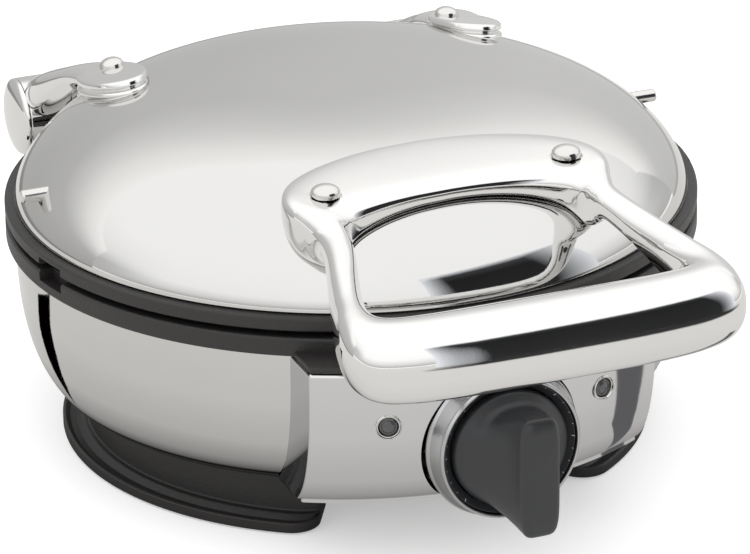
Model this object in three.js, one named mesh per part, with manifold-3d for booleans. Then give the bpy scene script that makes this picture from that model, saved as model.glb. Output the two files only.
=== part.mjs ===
// Round Belgian waffle maker, closed. Millimetres, +Z up, the user stands on the -Y side.
import * as THREE from 'three';
import { mergeVertices } from 'three/addons/utils/BufferGeometryUtils.js';
import Module from 'manifold-3d';

const wasm = await Module();
wasm.setup();

// ---------------------------------------------------------------- driving dimensions

const GAP = 0.3;                  // between pieces that touch
const SLIDE_GAP = 0.4;            // between pieces that turn past each other
const ROUND = 40;                 // facets of the big round pieces
const SMALL_ROUND = 16;           // facets of the small round pieces

const RIM_R = 140;                // outside of both plastic rims
const RIM_W = 12.4;               // from the rims' outside to their bore
const RIM_EDGE = 1.2;             // rounding of the rims' edges
const LOWER_RIM_H = 8;
const UPPER_RIM_H = 5.7;
const RIM_SPLIT = 2.4;            // slit between the closed rims
const STEAM_SLOT_W = 17;          // steam slots, which open both rims beside the slit
const STEAM_SLOT_DEPTH = 6;
const STEAM_SLOT_DROP = 4;        // height of a slot in the lower rim
const STEAM_SLOT_RISE = 3.4;      // height of a slot in the upper rim
const STEAM_SLOT_ANGLE = 10.8;    // degrees forward of the left and right sides

const SHEET = 1.4;                // sheet steel of the bowl and the dome
const BOWL_Z = 24.5;              // underside of the bowl above the table
const BOWL_H = 60.2;
const BOWL_TOP_INSET = 3.7;       // bowl's top edge inside the rim's outside
const BOWL_FOOT_INSET = 21.5;     // bowl's turned-under foot inside the rim's outside
const BOWL_FLANGE_W = 18.5;       // flange that turns under the bowl
const DOME_INSET = 4;             // dome's edge inside the rim's outside
const DOME_RISE = 42.3;

const PANEL_STANDOFF = 18.8;      // control panel's face in front of the bowl
const PANEL_HALF_W = 69;
const PANEL_WALL = 2;
const LEDGE_H = 2.4;              // plastic ledge that caps the panel
const LAMP_X = 44.6;
const LAMP_LEVEL = 0.631;         // lamps' centres, as a share of the bowl's height
const LAMP_BEZEL_R = 4.6;
const LAMP_LENS_R = 3.3;

const KNOB_LEVEL = 0.44;          // knob's axis, as a share of the bowl's height
const KNOB_R = 23.5;
const DIAL_W = 3.8;               // dial ring between the knob and the collar's bore
const COLLAR_LIP_W = 1;
const COLLAR_FOOT_W = 4.2;        // collar's wall where it leaves the panel
const COLLAR_REACH = 9.5;         // collar's lip in front of the panel
const COLLAR_DEPTH = 16;
const GRIP_REACH = 28;            // knob's grip in front of the collar's lip
const GRIP_HALF_W = 7.6;
const SHAFT_R = 3;

const TRAY_INSET = 12.5;          // tray inside the bowl's foot
const TRAY_H = 12;
const TRAY_WALL = 2.2;
const FOOT_STANDS_OUT = 1.9;      // feet outside the bowl's foot
const FOOT_LIP_H = 4.6;
const FOOT_W = 26.4;
const FOOT_GAP_ANGLE = 29;        // degrees from the front or the back to a foot's end
const FOOT_CORNER = 12;           // rounding of the feet's outer corners, in plan
const PAD_R = 8;
const PAD_INSET = 13.4;           // pads' centres inside the feet's outside
const PAD_ANGLE = 42;             // degrees forward and back of each side
const PAD_STANDS_OUT = 0.8;
const COVER_T = 2;
const COVER_SCREW_R = 3;          // head
const COVER_SCREW_X = 55;
const GLAND_R = 3.4;

const PLATE_CLEARANCE = 0.8;      // waffle plates inside the rims' bore
const PLATE_T = 3;
const PLATE_DISH_R = 90;
const PLATE_DISH_DEPTH = 6.5;
const PLATE_GAP = 5;              // between the closed plates' flanges
const GRID_PITCH = 24;
const GRID_RIB_W = 3.4;
const GRID_BARS = 3;              // ribs each side of the centre rib
const ELEMENT_R = 62;
const ELEMENT_TUBE_R = 3.5;

const HINGE_R = 16.5;             // hinge barrels
const HINGE_BEHIND_RIM = 10;      // hinge axis behind the rim's outside
const HINGE_DROP = 1.1;           // hinge axis below the lower rim's top
const HINGE_OUT_X = 92;           // outer end of a barrel
const HINGE_SPLIT_X = 71.7;       // between the lid's barrel and the base's knuckle
const KNUCKLE_IN_X = 50;
const ROD_R = 6;
const CAP_BULGE = 4.5;
const PAD_X = 78.5;                // middle of a hinge arm's pad on the dome
const PAD_REACH = 84;             // from the hinge axis forward to the pad's middle
const PAD_HALF_W = 14.4;
const PAD_HALF_L = 25;
const PAD_RISE = 4.4;             // pad's top above the dome
const PAD_SLOPE_X = 0.14;         // radians that the pad's top falls outward and backward
const PAD_SLOPE_Y = 0.2;
const HINGE_HEAD_R = 5;
const HINGE_SCREW_X = 74.4;
const HINGE_SCREW_BACK = 10;      // pad screw behind the pad's middle

const HANDLE_RISE = 40.6;         // handle's plate above the dome's edge
const HANDLE_HALF_W = 66;         // plate of the handle on the dome
const HANDLE_SCREW_X = 50;
const HANDLE_SCREW_REACH = 99;    // from the bar's centre back to the plate's screws
const BAR_REACH = 60;             // front bar's centre in front of the rim's outside
const BAR_RISE = 11.1;            // and above the dome's edge
const BAR_HALF_DEPTH = 16.5;
const BAR_HALF_H = 15.5;
const BAR_HALF_SPAN = 66;         // bar's centre line at its corners
const SCREW_HEAD_R = 5.2;

const STUD_Y = 5;
const STUD_RISE = 14.1;           // studs above the dome's edge
const STUD_TIP_INSET = 1;         // studs' tips inside the rim's outside
const STUD_R = 2.3;

// ---------------------------------------------------------------- values that follow

const RIM_BORE_R = RIM_R - RIM_W;
const DOME_R = RIM_R - DOME_INSET;
const KNOB_Z = BOWL_Z + KNOB_LEVEL * BOWL_H;
const LAMP_Z = BOWL_Z + LAMP_LEVEL * BOWL_H;
const COLLAR_BORE_R = KNOB_R + DIAL_W;
const COLLAR_LIP_R = COLLAR_BORE_R + COLLAR_LIP_W;
const COLLAR_R = COLLAR_BORE_R + COLLAR_FOOT_W;
const BOWL_FOOT_R = RIM_R - BOWL_FOOT_INSET;
const BOWL_TOP_Z = BOWL_Z + BOWL_H;
const LOWER_RIM_Z = BOWL_TOP_Z + GAP;
const LOWER_RIM_TOP = LOWER_RIM_Z + LOWER_RIM_H;
const UPPER_RIM_Z = LOWER_RIM_TOP + RIM_SPLIT;
const UPPER_RIM_TOP = UPPER_RIM_Z + UPPER_RIM_H;
const PARTING_Z = (LOWER_RIM_TOP + UPPER_RIM_Z) / 2;
const DOME_Z = UPPER_RIM_TOP + GAP;
const TRAY_R = BOWL_FOOT_R - TRAY_INSET;
const FOOT_R = BOWL_FOOT_R + FOOT_STANDS_OUT;
const FOOT_INNER_R = FOOT_R - FOOT_W;
const PLATE_R = RIM_BORE_R - PLATE_CLEARANCE;
const HINGE_Y = RIM_R + HINGE_BEHIND_RIM;
const HINGE_Z = LOWER_RIM_TOP - HINGE_DROP;
const HANDLE_TOP_Z = DOME_Z + HANDLE_RISE;
const BAR_Y = -RIM_R - BAR_REACH;
const BAR_Z = DOME_Z + BAR_RISE;
const HANDLE_SCREW_Y = BAR_Y + HANDLE_SCREW_REACH;
const PAD_Y = HINGE_Y - PAD_REACH;
const PAD_TOP_Z = domeHeight(Math.hypot(PAD_X, PAD_Y)) + PAD_RISE;
const HINGE_SCREW_Y = PAD_Y + HINGE_SCREW_BACK;
const ARM_X = (HINGE_OUT_X + HINGE_SPLIT_X) / 2;
const STUD_TIP_X = RIM_R - STUD_TIP_INSET;
const FACE_Y = -panelRadius(KNOB_Z);
const COLLAR_LIP_Y = FACE_Y - COLLAR_REACH;
const PLATE_TOP_Z = PARTING_Z - PLATE_GAP / 2;
const DISH_Z = PLATE_TOP_Z - PLATE_DISH_DEPTH;
const TRAY_TOP_Z = BOWL_Z - GAP;
const TRAY_Z = TRAY_TOP_Z - TRAY_H;
const GLAND_Z = TRAY_Z + COVER_T + GLAND_R + 2 * GAP;
const HANDLE_FRONT_Y = BAR_Y - BAR_HALF_DEPTH;
const HINGE_BACK_Y = HINGE_Y + HINGE_R;

// Radius of the bowl's outside at height z: a superellipse quarter from the turned-under foot.
function bowlRadius(z) {
  const s = THREE.MathUtils.clamp((z - BOWL_Z) / BOWL_H, 0, 1);
  const top = RIM_R - BOWL_TOP_INSET;
  return BOWL_FOOT_R + (top - BOWL_FOOT_R) * (1 - (1 - s) ** 2.6) ** 0.6;
}

function panelRadius(z) {
  return bowlRadius(z) + PANEL_STANDOFF;
}

// Height of the dome's outside at radius r.
function domeHeight(r, edge = DOME_R, rise = DOME_RISE) {
  const t = THREE.MathUtils.clamp(r / edge, 0, 1);
  return DOME_Z + rise * (1 - t ** 3.6) ** 0.625;
}

// ---------------------------------------------------------------- solids

// A closed geometry as a Manifold solid, with its faces turned outward.
function solidOf(geometry) {
  geometry.deleteAttribute('normal');
  geometry.deleteAttribute('uv');
  const welded = mergeVertices(geometry, 1e-4);
  const corners = welded.index.array;
  const points = welded.attributes.position;
  const corner = (i) => new THREE.Vector3().fromBufferAttribute(points, i);
  const triangles = [];
  let volume = 0;
  for (let i = 0; i < corners.length; i += 3) {
    const [a, b, c] = corners.slice(i, i + 3);
    if (a === b || b === c || c === a) continue;
    triangles.push(a, b, c);
    volume += corner(a).dot(corner(b).cross(corner(c)));
  }
  if (volume < 0) triangles.reverse();
  return new wasm.Manifold(new wasm.Mesh({
    numProp: 3,
    vertProperties: new Float32Array(points.array),
    triVerts: new Uint32Array(triangles),
  }));
}

function geometryOf(solid) {
  const mesh = solid.getMesh();
  const geometry = new THREE.BufferGeometry();
  geometry.setAttribute('position', new THREE.BufferAttribute(mesh.vertProperties, 3));
  geometry.setIndex(new THREE.BufferAttribute(mesh.triVerts, 1));
  geometry.computeVertexNormals();
  return geometry;
}

// Surface of revolution about Y from [radius, height] pairs, closed where an end is off the axis.
function lathe(profile, facets) {
  const points = profile.map(([r, height]) => new THREE.Vector2(r, height));
  if (points[0].x > 0 || points.at(-1).x > 0) points.push(points[0].clone());
  return new THREE.LatheGeometry(points, facets);
}

// Solid of revolution about Z from [radius, height] pairs.
function revolve(profile, facets = ROUND) {
  return solidOf(lathe(profile, facets).rotateX(Math.PI / 2));
}

function box(width, depth, height, x = 0, y = 0, z = 0) {
  return solidOf(new THREE.BoxGeometry(width, depth, height).translate(x, y, z));
}

// Cylinder along an axis ('x', 'y' or 'z'), centred on a point.
function rod(radius, length, axis, x = 0, y = 0, z = 0, facets = SMALL_ROUND) {
  const geometry = new THREE.CylinderGeometry(radius, radius, length, facets);
  if (axis === 'x') geometry.rotateZ(Math.PI / 2);
  if (axis === 'z') geometry.rotateX(Math.PI / 2);
  return solidOf(geometry.translate(x, y, z));
}

function extrude(shape, depth, z, options = {}) {
  const settings = { depth, bevelEnabled: false, curveSegments: 8, ...options };
  return solidOf(new THREE.ExtrudeGeometry(shape, settings).translate(0, 0, z));
}

// Closed loft through rings of points that all have the same count.
function loft(rings) {
  const count = rings[0].length;
  const points = rings.flat();
  const faces = [];
  for (let i = 0; i + 1 < rings.length; i++) {
    for (let j = 0; j < count; j++) {
      const a = i * count + j;
      const b = i * count + ((j + 1) % count);
      faces.push(a, b, a + count, b, b + count, a + count);
    }
  }
  const last = (rings.length - 1) * count;
  for (let j = 1; j + 1 < count; j++) {
    faces.push(0, j + 1, j, last, last + j, last + j + 1);
  }
  const geometry = new THREE.BufferGeometry().setFromPoints(points);
  geometry.setIndex(faces);
  return solidOf(geometry);
}

// Bar with an oval section that changes along a curve. Each station is
// { at: Vector3, wide, high }: half width across the curve and half height.
function ovalBar(stations, steps, sides) {
  const path = new THREE.CatmullRomCurve3(stations.map((station) => station.at), false, 'centripetal');
  const up = new THREE.Vector3(0, 0, 1);
  const rings = [];
  for (let i = 0; i <= steps; i++) {
    const t = i / steps;
    const place = t * (stations.length - 1);
    const before = stations[Math.min(Math.floor(place), stations.length - 2)];
    const after = stations[stations.indexOf(before) + 1];
    const part = place - stations.indexOf(before);
    const wide = THREE.MathUtils.lerp(before.wide, after.wide, part);
    const high = THREE.MathUtils.lerp(before.high, after.high, part);
    const along = path.getTangent(t);
    const across = new THREE.Vector3().crossVectors(up, along).normalize();
    const normal = new THREE.Vector3().crossVectors(along, across);
    const ring = [];
    for (let j = 0; j < sides; j++) {
      const angle = (2 * Math.PI * j) / sides;
      ring.push(path.getPoint(t)
        .addScaledVector(across, wide * Math.cos(angle))
        .addScaledVector(normal, high * Math.sin(angle)));
    }
    rings.push(ring);
  }
  return loft(rings);
}

// ---------------------------------------------------------------- materials and nodes

function material(color, metalness, roughness) {
  return new THREE.MeshStandardMaterial({ color, metalness, roughness });
}

const STEEL = material(0xcfcfce, 1, 0.08);
const CHROME = material(0xdedfe0, 1, 0.04);
const SILVER = material(0xc4c4c6, 0.8, 0.3);
const BLACK = material(0x2f2c2a, 0, 0.6);
const KNOB_BLACK = material(0x37383a, 0, 0.45);
const NONSTICK = material(0x242424, 0.2, 0.4);
const ALUMINIUM = material(0xb9bbbd, 0.9, 0.35);
const ELEMENT = material(0x6b645e, 0.8, 0.5);
const RUBBER = material(0x1b1b1b, 0, 0.9);
const MARK = material(0xc9cacb, 0, 0.5);
const LENS = material(0x4a4b4d, 0, 0.15);
const RESIN = material(0x8a2f22, 0, 0.5);
const ZINC = material(0xa9abad, 0.9, 0.35);

const applianceAxis = new THREE.Group();

function node(name, solid, look, x = 0, y = 0, z = 0, turnX = 0, turnZ = 0) {
  const mesh = new THREE.Mesh(geometryOf(solid), look);
  mesh.name = name;
  mesh.rotation.set(turnX, 0, turnZ, 'ZXY');
  mesh.position.set(x, y, z);
  applianceAxis.add(mesh);
  return mesh;
}

// Both sides of the appliance: -1 is its left as the camera and the user see it.
const SIDES = [['left', -1], ['right', 1]];

// ---------------------------------------------------------------- bowl and rims

const WALL_STEPS = [0, 0.03, 0.1, 0.2, 0.35, 0.6, 1];
const BOWL_STEPS = WALL_STEPS.map((s) => BOWL_Z + s * BOWL_H);

function bowlSolid(grow, bottomZ = BOWL_Z) {
  const wall = BOWL_STEPS.map((z) => [bowlRadius(z) + grow, z === BOWL_Z ? bottomZ : z]);
  return revolve([[0, bottomZ], ...wall, [0, BOWL_TOP_Z]]);
}

function baseBowl() {
  const outside = BOWL_STEPS.map((z) => [bowlRadius(z), z]);
  const inside = BOWL_STEPS.slice(1).map((z) => [bowlRadius(z) - SHEET, z]).reverse();
  const flange = BOWL_FOOT_R - BOWL_FLANGE_W;
  const shell = revolve([
    [flange, BOWL_Z], ...outside, ...inside,
    [BOWL_FOOT_R - SHEET, BOWL_Z + SHEET], [flange, BOWL_Z + SHEET],
  ]);
  return shell.subtract(rod(SHAFT_R + 3, 40, 'y', 0, -bowlRadius(KNOB_Z), KNOB_Z));
}

function rimProfile(bottom, top) {
  return [
    [RIM_BORE_R, bottom], [RIM_R - RIM_EDGE, bottom], [RIM_R, bottom + RIM_EDGE],
    [RIM_R, top - RIM_EDGE], [RIM_R - RIM_EDGE, top], [RIM_BORE_R, top],
  ];
}

function steamSlots(bottom, top) {
  const height = top - bottom;
  const reach = RIM_R - STEAM_SLOT_DEPTH;
  const slot = (angle) => solidOf(
    new THREE.BoxGeometry(20, STEAM_SLOT_W, height)
      .translate(reach + 10, 0, (bottom + top) / 2)
      .rotateZ(angle),
  );
  const turn = THREE.MathUtils.degToRad(STEAM_SLOT_ANGLE);
  return slot(Math.PI + turn).add(slot(-turn));
}

function lowerRim() {
  const ring = revolve(rimProfile(LOWER_RIM_Z, LOWER_RIM_TOP));
  const reach = panelRadius(LOWER_RIM_Z) - GAP;
  const ledge = revolve([
    [RIM_R - 3, LOWER_RIM_Z], [reach, LOWER_RIM_Z],
    [reach, LOWER_RIM_Z + LEDGE_H], [RIM_R - 3, LOWER_RIM_Z + LEDGE_H],
  ]).intersect(box(2 * PANEL_HALF_W - 1, reach, 40, 0, -reach, LOWER_RIM_Z));
  return ring.add(ledge).subtract(steamSlots(LOWER_RIM_TOP - STEAM_SLOT_DROP, LOWER_RIM_TOP + 1));
}

function upperRim() {
  return revolve(rimProfile(UPPER_RIM_Z, UPPER_RIM_TOP))
    .subtract(steamSlots(UPPER_RIM_Z - 1, UPPER_RIM_Z + STEAM_SLOT_RISE));
}

node('base_bowl', baseBowl(), STEEL);
node('lower_rim', lowerRim(), BLACK);

// ---------------------------------------------------------------- control panel and lamps

function panelSolid(inset, bottomZ, topZ) {
  const wall = WALL_STEPS.map((s) => bottomZ + s * (topZ - bottomZ)).map((z) => [panelRadius(z) - inset, z]);
  const round = revolve([[0, bottomZ], ...wall, [0, topZ]], 2 * ROUND);
  const depth = PANEL_STANDOFF + RIM_R;
  const width = 2 * (PANEL_HALF_W - inset);
  return round.intersect(box(width, depth, topZ, 0, -depth / 2 - 60, (bottomZ + topZ) / 2));
}

function lampPlace(side) {
  const reach = panelRadius(LAMP_Z);
  const turn = side * Math.asin(LAMP_X / reach);
  return { x: side * LAMP_X, y: -reach * Math.cos(turn), turn };
}

// Round piece about a lamp's axis from [radius, distance in front of the panel face] pairs.
function atLamp(profile, side) {
  const { x, y, turn } = lampPlace(side);
  return solidOf(lathe(profile, SMALL_ROUND).rotateX(Math.PI).rotateZ(turn).translate(x, y, LAMP_Z));
}

function controlPanel() {
  const hollow = panelSolid(PANEL_WALL, BOWL_Z + PANEL_WALL, BOWL_TOP_Z + 5);
  let shell = panelSolid(0, BOWL_Z, BOWL_TOP_Z)
    .subtract(hollow)
    .subtract(bowlSolid(GAP, BOWL_Z - 1))
    .subtract(rod(COLLAR_R + GAP, 60, 'y', 0, FACE_Y, KNOB_Z, ROUND));
  for (const [, side] of SIDES) {
    const bore = LAMP_BEZEL_R - 1 + GAP;
    shell = shell.subtract(atLamp([[0, -9], [bore, -9], [bore, 9], [0, 9]], side));
  }
  return shell;
}

node('control_panel', controlPanel(), SILVER);

const LAMPS = [['power', -1], ['ready', 1]];
for (const [name, side] of LAMPS) {
  const barrel = LAMP_BEZEL_R - 1;
  node(`${name}_lamp_bezel`, atLamp([
    [LAMP_LENS_R, -4], [barrel, -4], [barrel, 0.9], [LAMP_BEZEL_R, 0.9],
    [LAMP_BEZEL_R, 1.5], [LAMP_LENS_R, 2.1],
  ], side), CHROME);
  const lens = LAMP_LENS_R - GAP;
  node(`${name}_lamp_lens`, atLamp([
    [0, -4], [lens, -4], [lens, 1.4], [lens - 1, 2.2], [0, 2.6],
  ], side), LENS);
  node(`${name}_neon_lamp`, atLamp([[0, -15], [2.5, -15], [2.5, -5.5], [0, -4.3]], side), RESIN);
}

// ---------------------------------------------------------------- thermostat and its knob

// Round piece about the knob's axis from [radius, distance in front of the panel face] pairs.
function aboutKnob(profile, facets = ROUND) {
  return solidOf(lathe(profile, facets).rotateX(Math.PI).translate(0, FACE_Y, KNOB_Z));
}

const DIAL_FLOOR = COLLAR_REACH - 8;

node('knob_collar', aboutKnob([
  [SHAFT_R + 2, -COLLAR_DEPTH], [COLLAR_R - 1, -COLLAR_DEPTH], [COLLAR_R, 0],
  [COLLAR_LIP_R, COLLAR_REACH - 0.4], [COLLAR_LIP_R - 0.5, COLLAR_REACH], [COLLAR_BORE_R, COLLAR_REACH],
  [COLLAR_BORE_R, 2 - COLLAR_DEPTH], [SHAFT_R + 2, 2 - COLLAR_DEPTH],
]), SILVER);

node('dial_ring', aboutKnob([
  [KNOB_R + SLIDE_GAP, DIAL_FLOOR], [COLLAR_BORE_R - GAP, DIAL_FLOOR],
  [COLLAR_BORE_R - GAP, COLLAR_REACH - 1.2], [KNOB_R + SLIDE_GAP, COLLAR_REACH - 4],
]), KNOB_BLACK);

// Grip of the knob: a fin whose foot spreads over the disc. Each station is its distance in
// front of the collar's lip, its half width, and its height above and below the knob's axis.
function gripFin() {
  const low = KNOB_R + 0.8;
  const stations = [
    [-3, KNOB_R - 6.5, KNOB_R - 6, KNOB_R - 3.5], [0, KNOB_R - 7.5, KNOB_R - 6, KNOB_R - 0.8],
    [4, GRIP_HALF_W + 3.9, KNOB_R - 5.3, low - 0.4], [9, GRIP_HALF_W + 1.4, KNOB_R - 4, low],
    [16, GRIP_HALF_W + 0.5, KNOB_R - 2, low], [GRIP_REACH - 2, GRIP_HALF_W, KNOB_R + 0.5, low],
    [GRIP_REACH, GRIP_HALF_W - 2, KNOB_R - 1.3, low - 2],
  ];
  const sides = 20;
  return loft(stations.map(([out, wide, above, below]) => {
    const ring = [];
    for (let j = 0; j < sides; j++) {
      const angle = (2 * Math.PI * j) / sides;
      const round = (value) => Math.sign(value) * Math.abs(value) ** 0.5;
      const high = Math.sin(angle) > 0 ? above : below;
      ring.push(new THREE.Vector3(
        wide * round(Math.cos(angle)), COLLAR_LIP_Y - out, KNOB_Z + high * round(Math.sin(angle)),
      ));
    }
    return ring;
  }));
}

function knob() {
  const disc = aboutKnob([
    [0, DIAL_FLOOR - 1], [KNOB_R, DIAL_FLOOR - 1], [KNOB_R, COLLAR_REACH - 1.5],
    [KNOB_R - 1.5, COLLAR_REACH], [KNOB_R - 9, COLLAR_REACH + 2.2], [0, COLLAR_REACH + 3],
  ]);
  const socket = rod(SHAFT_R + 0.1, 12, 'y', 0, COLLAR_LIP_Y + 8, KNOB_Z);
  return disc.add(gripFin()).subtract(socket);
}

node('knob', knob(), KNOB_BLACK);
node('knob_marker', rod(1.6, 0.6, 'y', 0, 0, 0, 16), MARK,
  0, COLLAR_LIP_Y - 1.4, KNOB_Z + KNOB_R - 3);

const SHAFT_BACK_Y = -bowlRadius(KNOB_Z) + 9;
const SHAFT_FRONT_Y = COLLAR_LIP_Y + 3;
node('thermostat_shaft',
  rod(SHAFT_R - 0.2, SHAFT_BACK_Y - SHAFT_FRONT_Y, 'y', 0, (SHAFT_BACK_Y + SHAFT_FRONT_Y) / 2, KNOB_Z),
  ZINC);

const THERMOSTAT_DEPTH = 20;
const THERMOSTAT_H = 26;
const BRACKET_T = 1.5;
const thermostatY = SHAFT_BACK_Y + SLIDE_GAP + THERMOSTAT_DEPTH / 2;
const bracketY = thermostatY + THERMOSTAT_DEPTH / 2 + GAP + BRACKET_T / 2;
const bracketTop = KNOB_Z + THERMOSTAT_H / 2;
const bracketFoot = BOWL_Z + SHEET + GAP;
node('thermostat', box(32, THERMOSTAT_DEPTH, THERMOSTAT_H, 0, thermostatY, KNOB_Z), RESIN);
node('thermostat_bracket',
  box(26, BRACKET_T, bracketTop - bracketFoot, 0, bracketY, (bracketTop + bracketFoot) / 2)
    .add(box(26, 14, BRACKET_T, 0, bracketY + 7, bracketFoot + BRACKET_T / 2)),
  ZINC);

// ---------------------------------------------------------------- base tray and feet

const coverScrews = [[-1, -1], [1, -1], [-1, 1], [1, 1]]
  .map(([x, y]) => [x * COVER_SCREW_X, y * COVER_SCREW_X]);

function baseTray() {
  const pan = revolve([
    [0, TRAY_TOP_Z - TRAY_WALL], [TRAY_R - TRAY_WALL, TRAY_TOP_Z - TRAY_WALL],
    [TRAY_R - TRAY_WALL, TRAY_Z], [TRAY_R, TRAY_Z], [TRAY_R, TRAY_TOP_Z], [0, TRAY_TOP_Z],
  ]);
  const bossTop = TRAY_TOP_Z - TRAY_WALL + 0.5;
  const bossFoot = TRAY_Z + COVER_T + GAP;
  const boss = ([x, y]) => rod(COVER_SCREW_R + 1.5, bossTop - bossFoot, 'z', x, y, (bossTop + bossFoot) / 2)
    .subtract(rod(COVER_SCREW_R - 1 + GAP, 12, 'z', x, y, bossFoot, 12));
  return coverScrews.map(boss)
    .reduce((tray, next) => tray.add(next), pan)
    .subtract(rod(GLAND_R + GAP, 12, 'y', 0, TRAY_R, GLAND_Z));
}

// Plan of one foot: an annular sector with rounded outer corners, on the +X side.
function footPlan() {
  const start = THREE.MathUtils.degToRad(FOOT_GAP_ANGLE - 90);
  const turn = FOOT_CORNER / FOOT_R;
  const at = (radius, angle) => [radius * Math.cos(angle), radius * Math.sin(angle)];
  const plan = new THREE.Shape();
  plan.moveTo(...at(FOOT_INNER_R, start));
  plan.lineTo(...at(FOOT_R - FOOT_CORNER, start));
  plan.quadraticCurveTo(...at(FOOT_R, start), ...at(FOOT_R, start + turn));
  plan.absarc(0, 0, FOOT_R + 2, start + turn, -start - turn, false);
  plan.lineTo(...at(FOOT_R, -start - turn));
  plan.quadraticCurveTo(...at(FOOT_R, -start), ...at(FOOT_R - FOOT_CORNER, -start));
  plan.lineTo(...at(FOOT_INNER_R, -start));
  plan.absarc(0, 0, FOOT_INNER_R, -start, start, true);
  return plan;
}

function padCentres(side) {
  return [-1, 1].map((end) => {
    const angle = THREE.MathUtils.degToRad(end * PAD_ANGLE);
    const orbit = FOOT_R - PAD_INSET;
    return [side * orbit * Math.cos(angle), orbit * Math.sin(angle)];
  });
}

function foot(side) {
  const shelf = TRAY_Z - GAP;
  const ring = revolve([
    [FOOT_INNER_R - 1, PAD_STANDS_OUT], [FOOT_R, PAD_STANDS_OUT], [FOOT_R, FOOT_LIP_H],
    [FOOT_R - 1.4, FOOT_LIP_H + 0.6], [FOOT_R - 3.2, FOOT_LIP_H - 0.4], [FOOT_R - 7.5, FOOT_LIP_H],
    [FOOT_R - 9.2, FOOT_LIP_H + 2], [FOOT_R - 11.2, TRAY_TOP_Z - 3], [FOOT_R - 12.4, TRAY_TOP_Z],
    [TRAY_R + GAP, TRAY_TOP_Z], [TRAY_R + GAP, shelf], [FOOT_INNER_R - 1, shelf],
  ]);
  const plan = extrude(footPlan(), TRAY_TOP_Z + 2, -1, { curveSegments: 6 });
  let solid = ring.intersect(plan);
  if (side < 0) {
    solid = solidOf(geometryOf(solid).rotateZ(Math.PI));
  }
  for (const [x, y] of padCentres(side)) {
    solid = solid.subtract(rod(PAD_R + GAP, 2 * (PAD_STANDS_OUT + 2), 'z', x, y, 0));
  }
  return solid;
}

node('base_tray', baseTray(), BLACK);
for (const [name, side] of SIDES) {
  node(`${name}_foot`, foot(side), BLACK);
  padCentres(side).forEach(([x, y], i) => {
    const end = ['front', 'rear'][i];
    node(`${end}_${name}_pad`, rod(PAD_R, PAD_STANDS_OUT + 2 - GAP, 'z'), RUBBER,
      x, y, (PAD_STANDS_OUT + 2 - GAP) / 2);
  });
}

const COVER_R = TRAY_R - TRAY_WALL - GAP;
const coverHoles = coverScrews
  .map(([x, y]) => rod(COVER_SCREW_R - 1 + GAP, 8, 'z', x, y, TRAY_Z, 12))
  .reduce((all, hole) => all.add(hole));
node('bottom_cover', revolve([
  [0, TRAY_Z], [COVER_R, TRAY_Z], [COVER_R, TRAY_Z + COVER_T], [0, TRAY_Z + COVER_T],
]).subtract(coverHoles), ZINC);
coverScrews.forEach(([x, y], i) => {
  node(`cover_screw_${i + 1}`, revolve([
    [0, -1.5], [COVER_SCREW_R - 0.6, -1.5], [COVER_SCREW_R, -GAP],
    [COVER_SCREW_R - 1, -GAP], [COVER_SCREW_R - 1, COVER_T + 3], [0, COVER_T + 4],
  ], 12), ZINC, x, y, TRAY_Z);
});

node('cord_gland', revolve([
  [0, -5], [GLAND_R, -5], [GLAND_R, GAP], [GLAND_R + 1.4, GAP],
  [GLAND_R + 1.4, 2], [GLAND_R - 1, 8], [0, 8],
], 16), BLACK, 0, TRAY_R, GLAND_Z, -Math.PI / 2);

// ---------------------------------------------------------------- plates and heaters

// Turns a lower-half profile over about the parting plane for the lid's copy.
function turnedOver(solid) {
  return solidOf(geometryOf(solid).translate(0, 0, -PARTING_Z).rotateX(Math.PI).translate(0, 0, PARTING_Z));
}

function wafflePlate() {
  const under = DISH_Z - PLATE_T;
  const dish = revolve([
    [0, under], [PLATE_DISH_R + 1, under], [PLATE_DISH_R + PLATE_T + 2, PLATE_TOP_Z - PLATE_T],
    [PLATE_R, PLATE_TOP_Z - PLATE_T], [PLATE_R, PLATE_TOP_Z], [PLATE_DISH_R + 2, PLATE_TOP_Z],
    [PLATE_DISH_R, DISH_Z], [0, DISH_Z],
  ]);
  const ribTop = PLATE_TOP_Z - 0.6;
  const ribZ = (ribTop + DISH_Z - 1) / 2;
  const ribH = ribTop - DISH_Z + 1;
  let grid = null;
  for (let i = -GRID_BARS; i <= GRID_BARS; i++) {
    const off = i * GRID_PITCH;
    const long = 2 * (Math.sqrt(PLATE_DISH_R ** 2 - off ** 2) + 0.5);
    const pair = box(GRID_RIB_W, long, ribH, off, 0, ribZ).add(box(long, GRID_RIB_W, ribH, 0, off, ribZ));
    grid = grid ? grid.add(pair) : pair;
  }
  return dish.add(grid);
}

// Tubular element: an arc that stops short of a full turn, with both legs turned down.
class ElementPath extends THREE.Curve {
  getPoint(t, target = new THREE.Vector3()) {
    const angle = THREE.MathUtils.lerp(0.12, 2 * Math.PI - 0.12, t) + Math.PI / 2;
    return target.set(ELEMENT_R * Math.cos(angle), ELEMENT_R * Math.sin(angle), ELEMENT_Z);
  }
}

const ELEMENT_Z = DISH_Z - PLATE_T - ELEMENT_TUBE_R - 1;
const PAN_Z = ELEMENT_Z - ELEMENT_TUBE_R - 7;

function heatingElement() {
  const section = new THREE.Shape().absarc(0, 0, ELEMENT_TUBE_R, 0, 2 * Math.PI);
  return solidOf(new THREE.ExtrudeGeometry(section, {
    steps: 30, curveSegments: 4, extrudePath: new ElementPath(),
  }));
}

function heatReflector() {
  const rimZ = PLATE_TOP_Z - PLATE_T - GAP;
  const outer = PLATE_R - 12;
  return revolve([
    [0, PAN_Z], [outer - 10, PAN_Z], [outer, PAN_Z + 8], [outer, rimZ - 1],
    [PLATE_R - 2, rimZ - 1], [PLATE_R - 2, rimZ], [outer - 1, rimZ],
    [outer - 1, PAN_Z + 8.4], [outer - 10.4, PAN_Z + 1], [0, PAN_Z + 1],
  ]);
}

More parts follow.
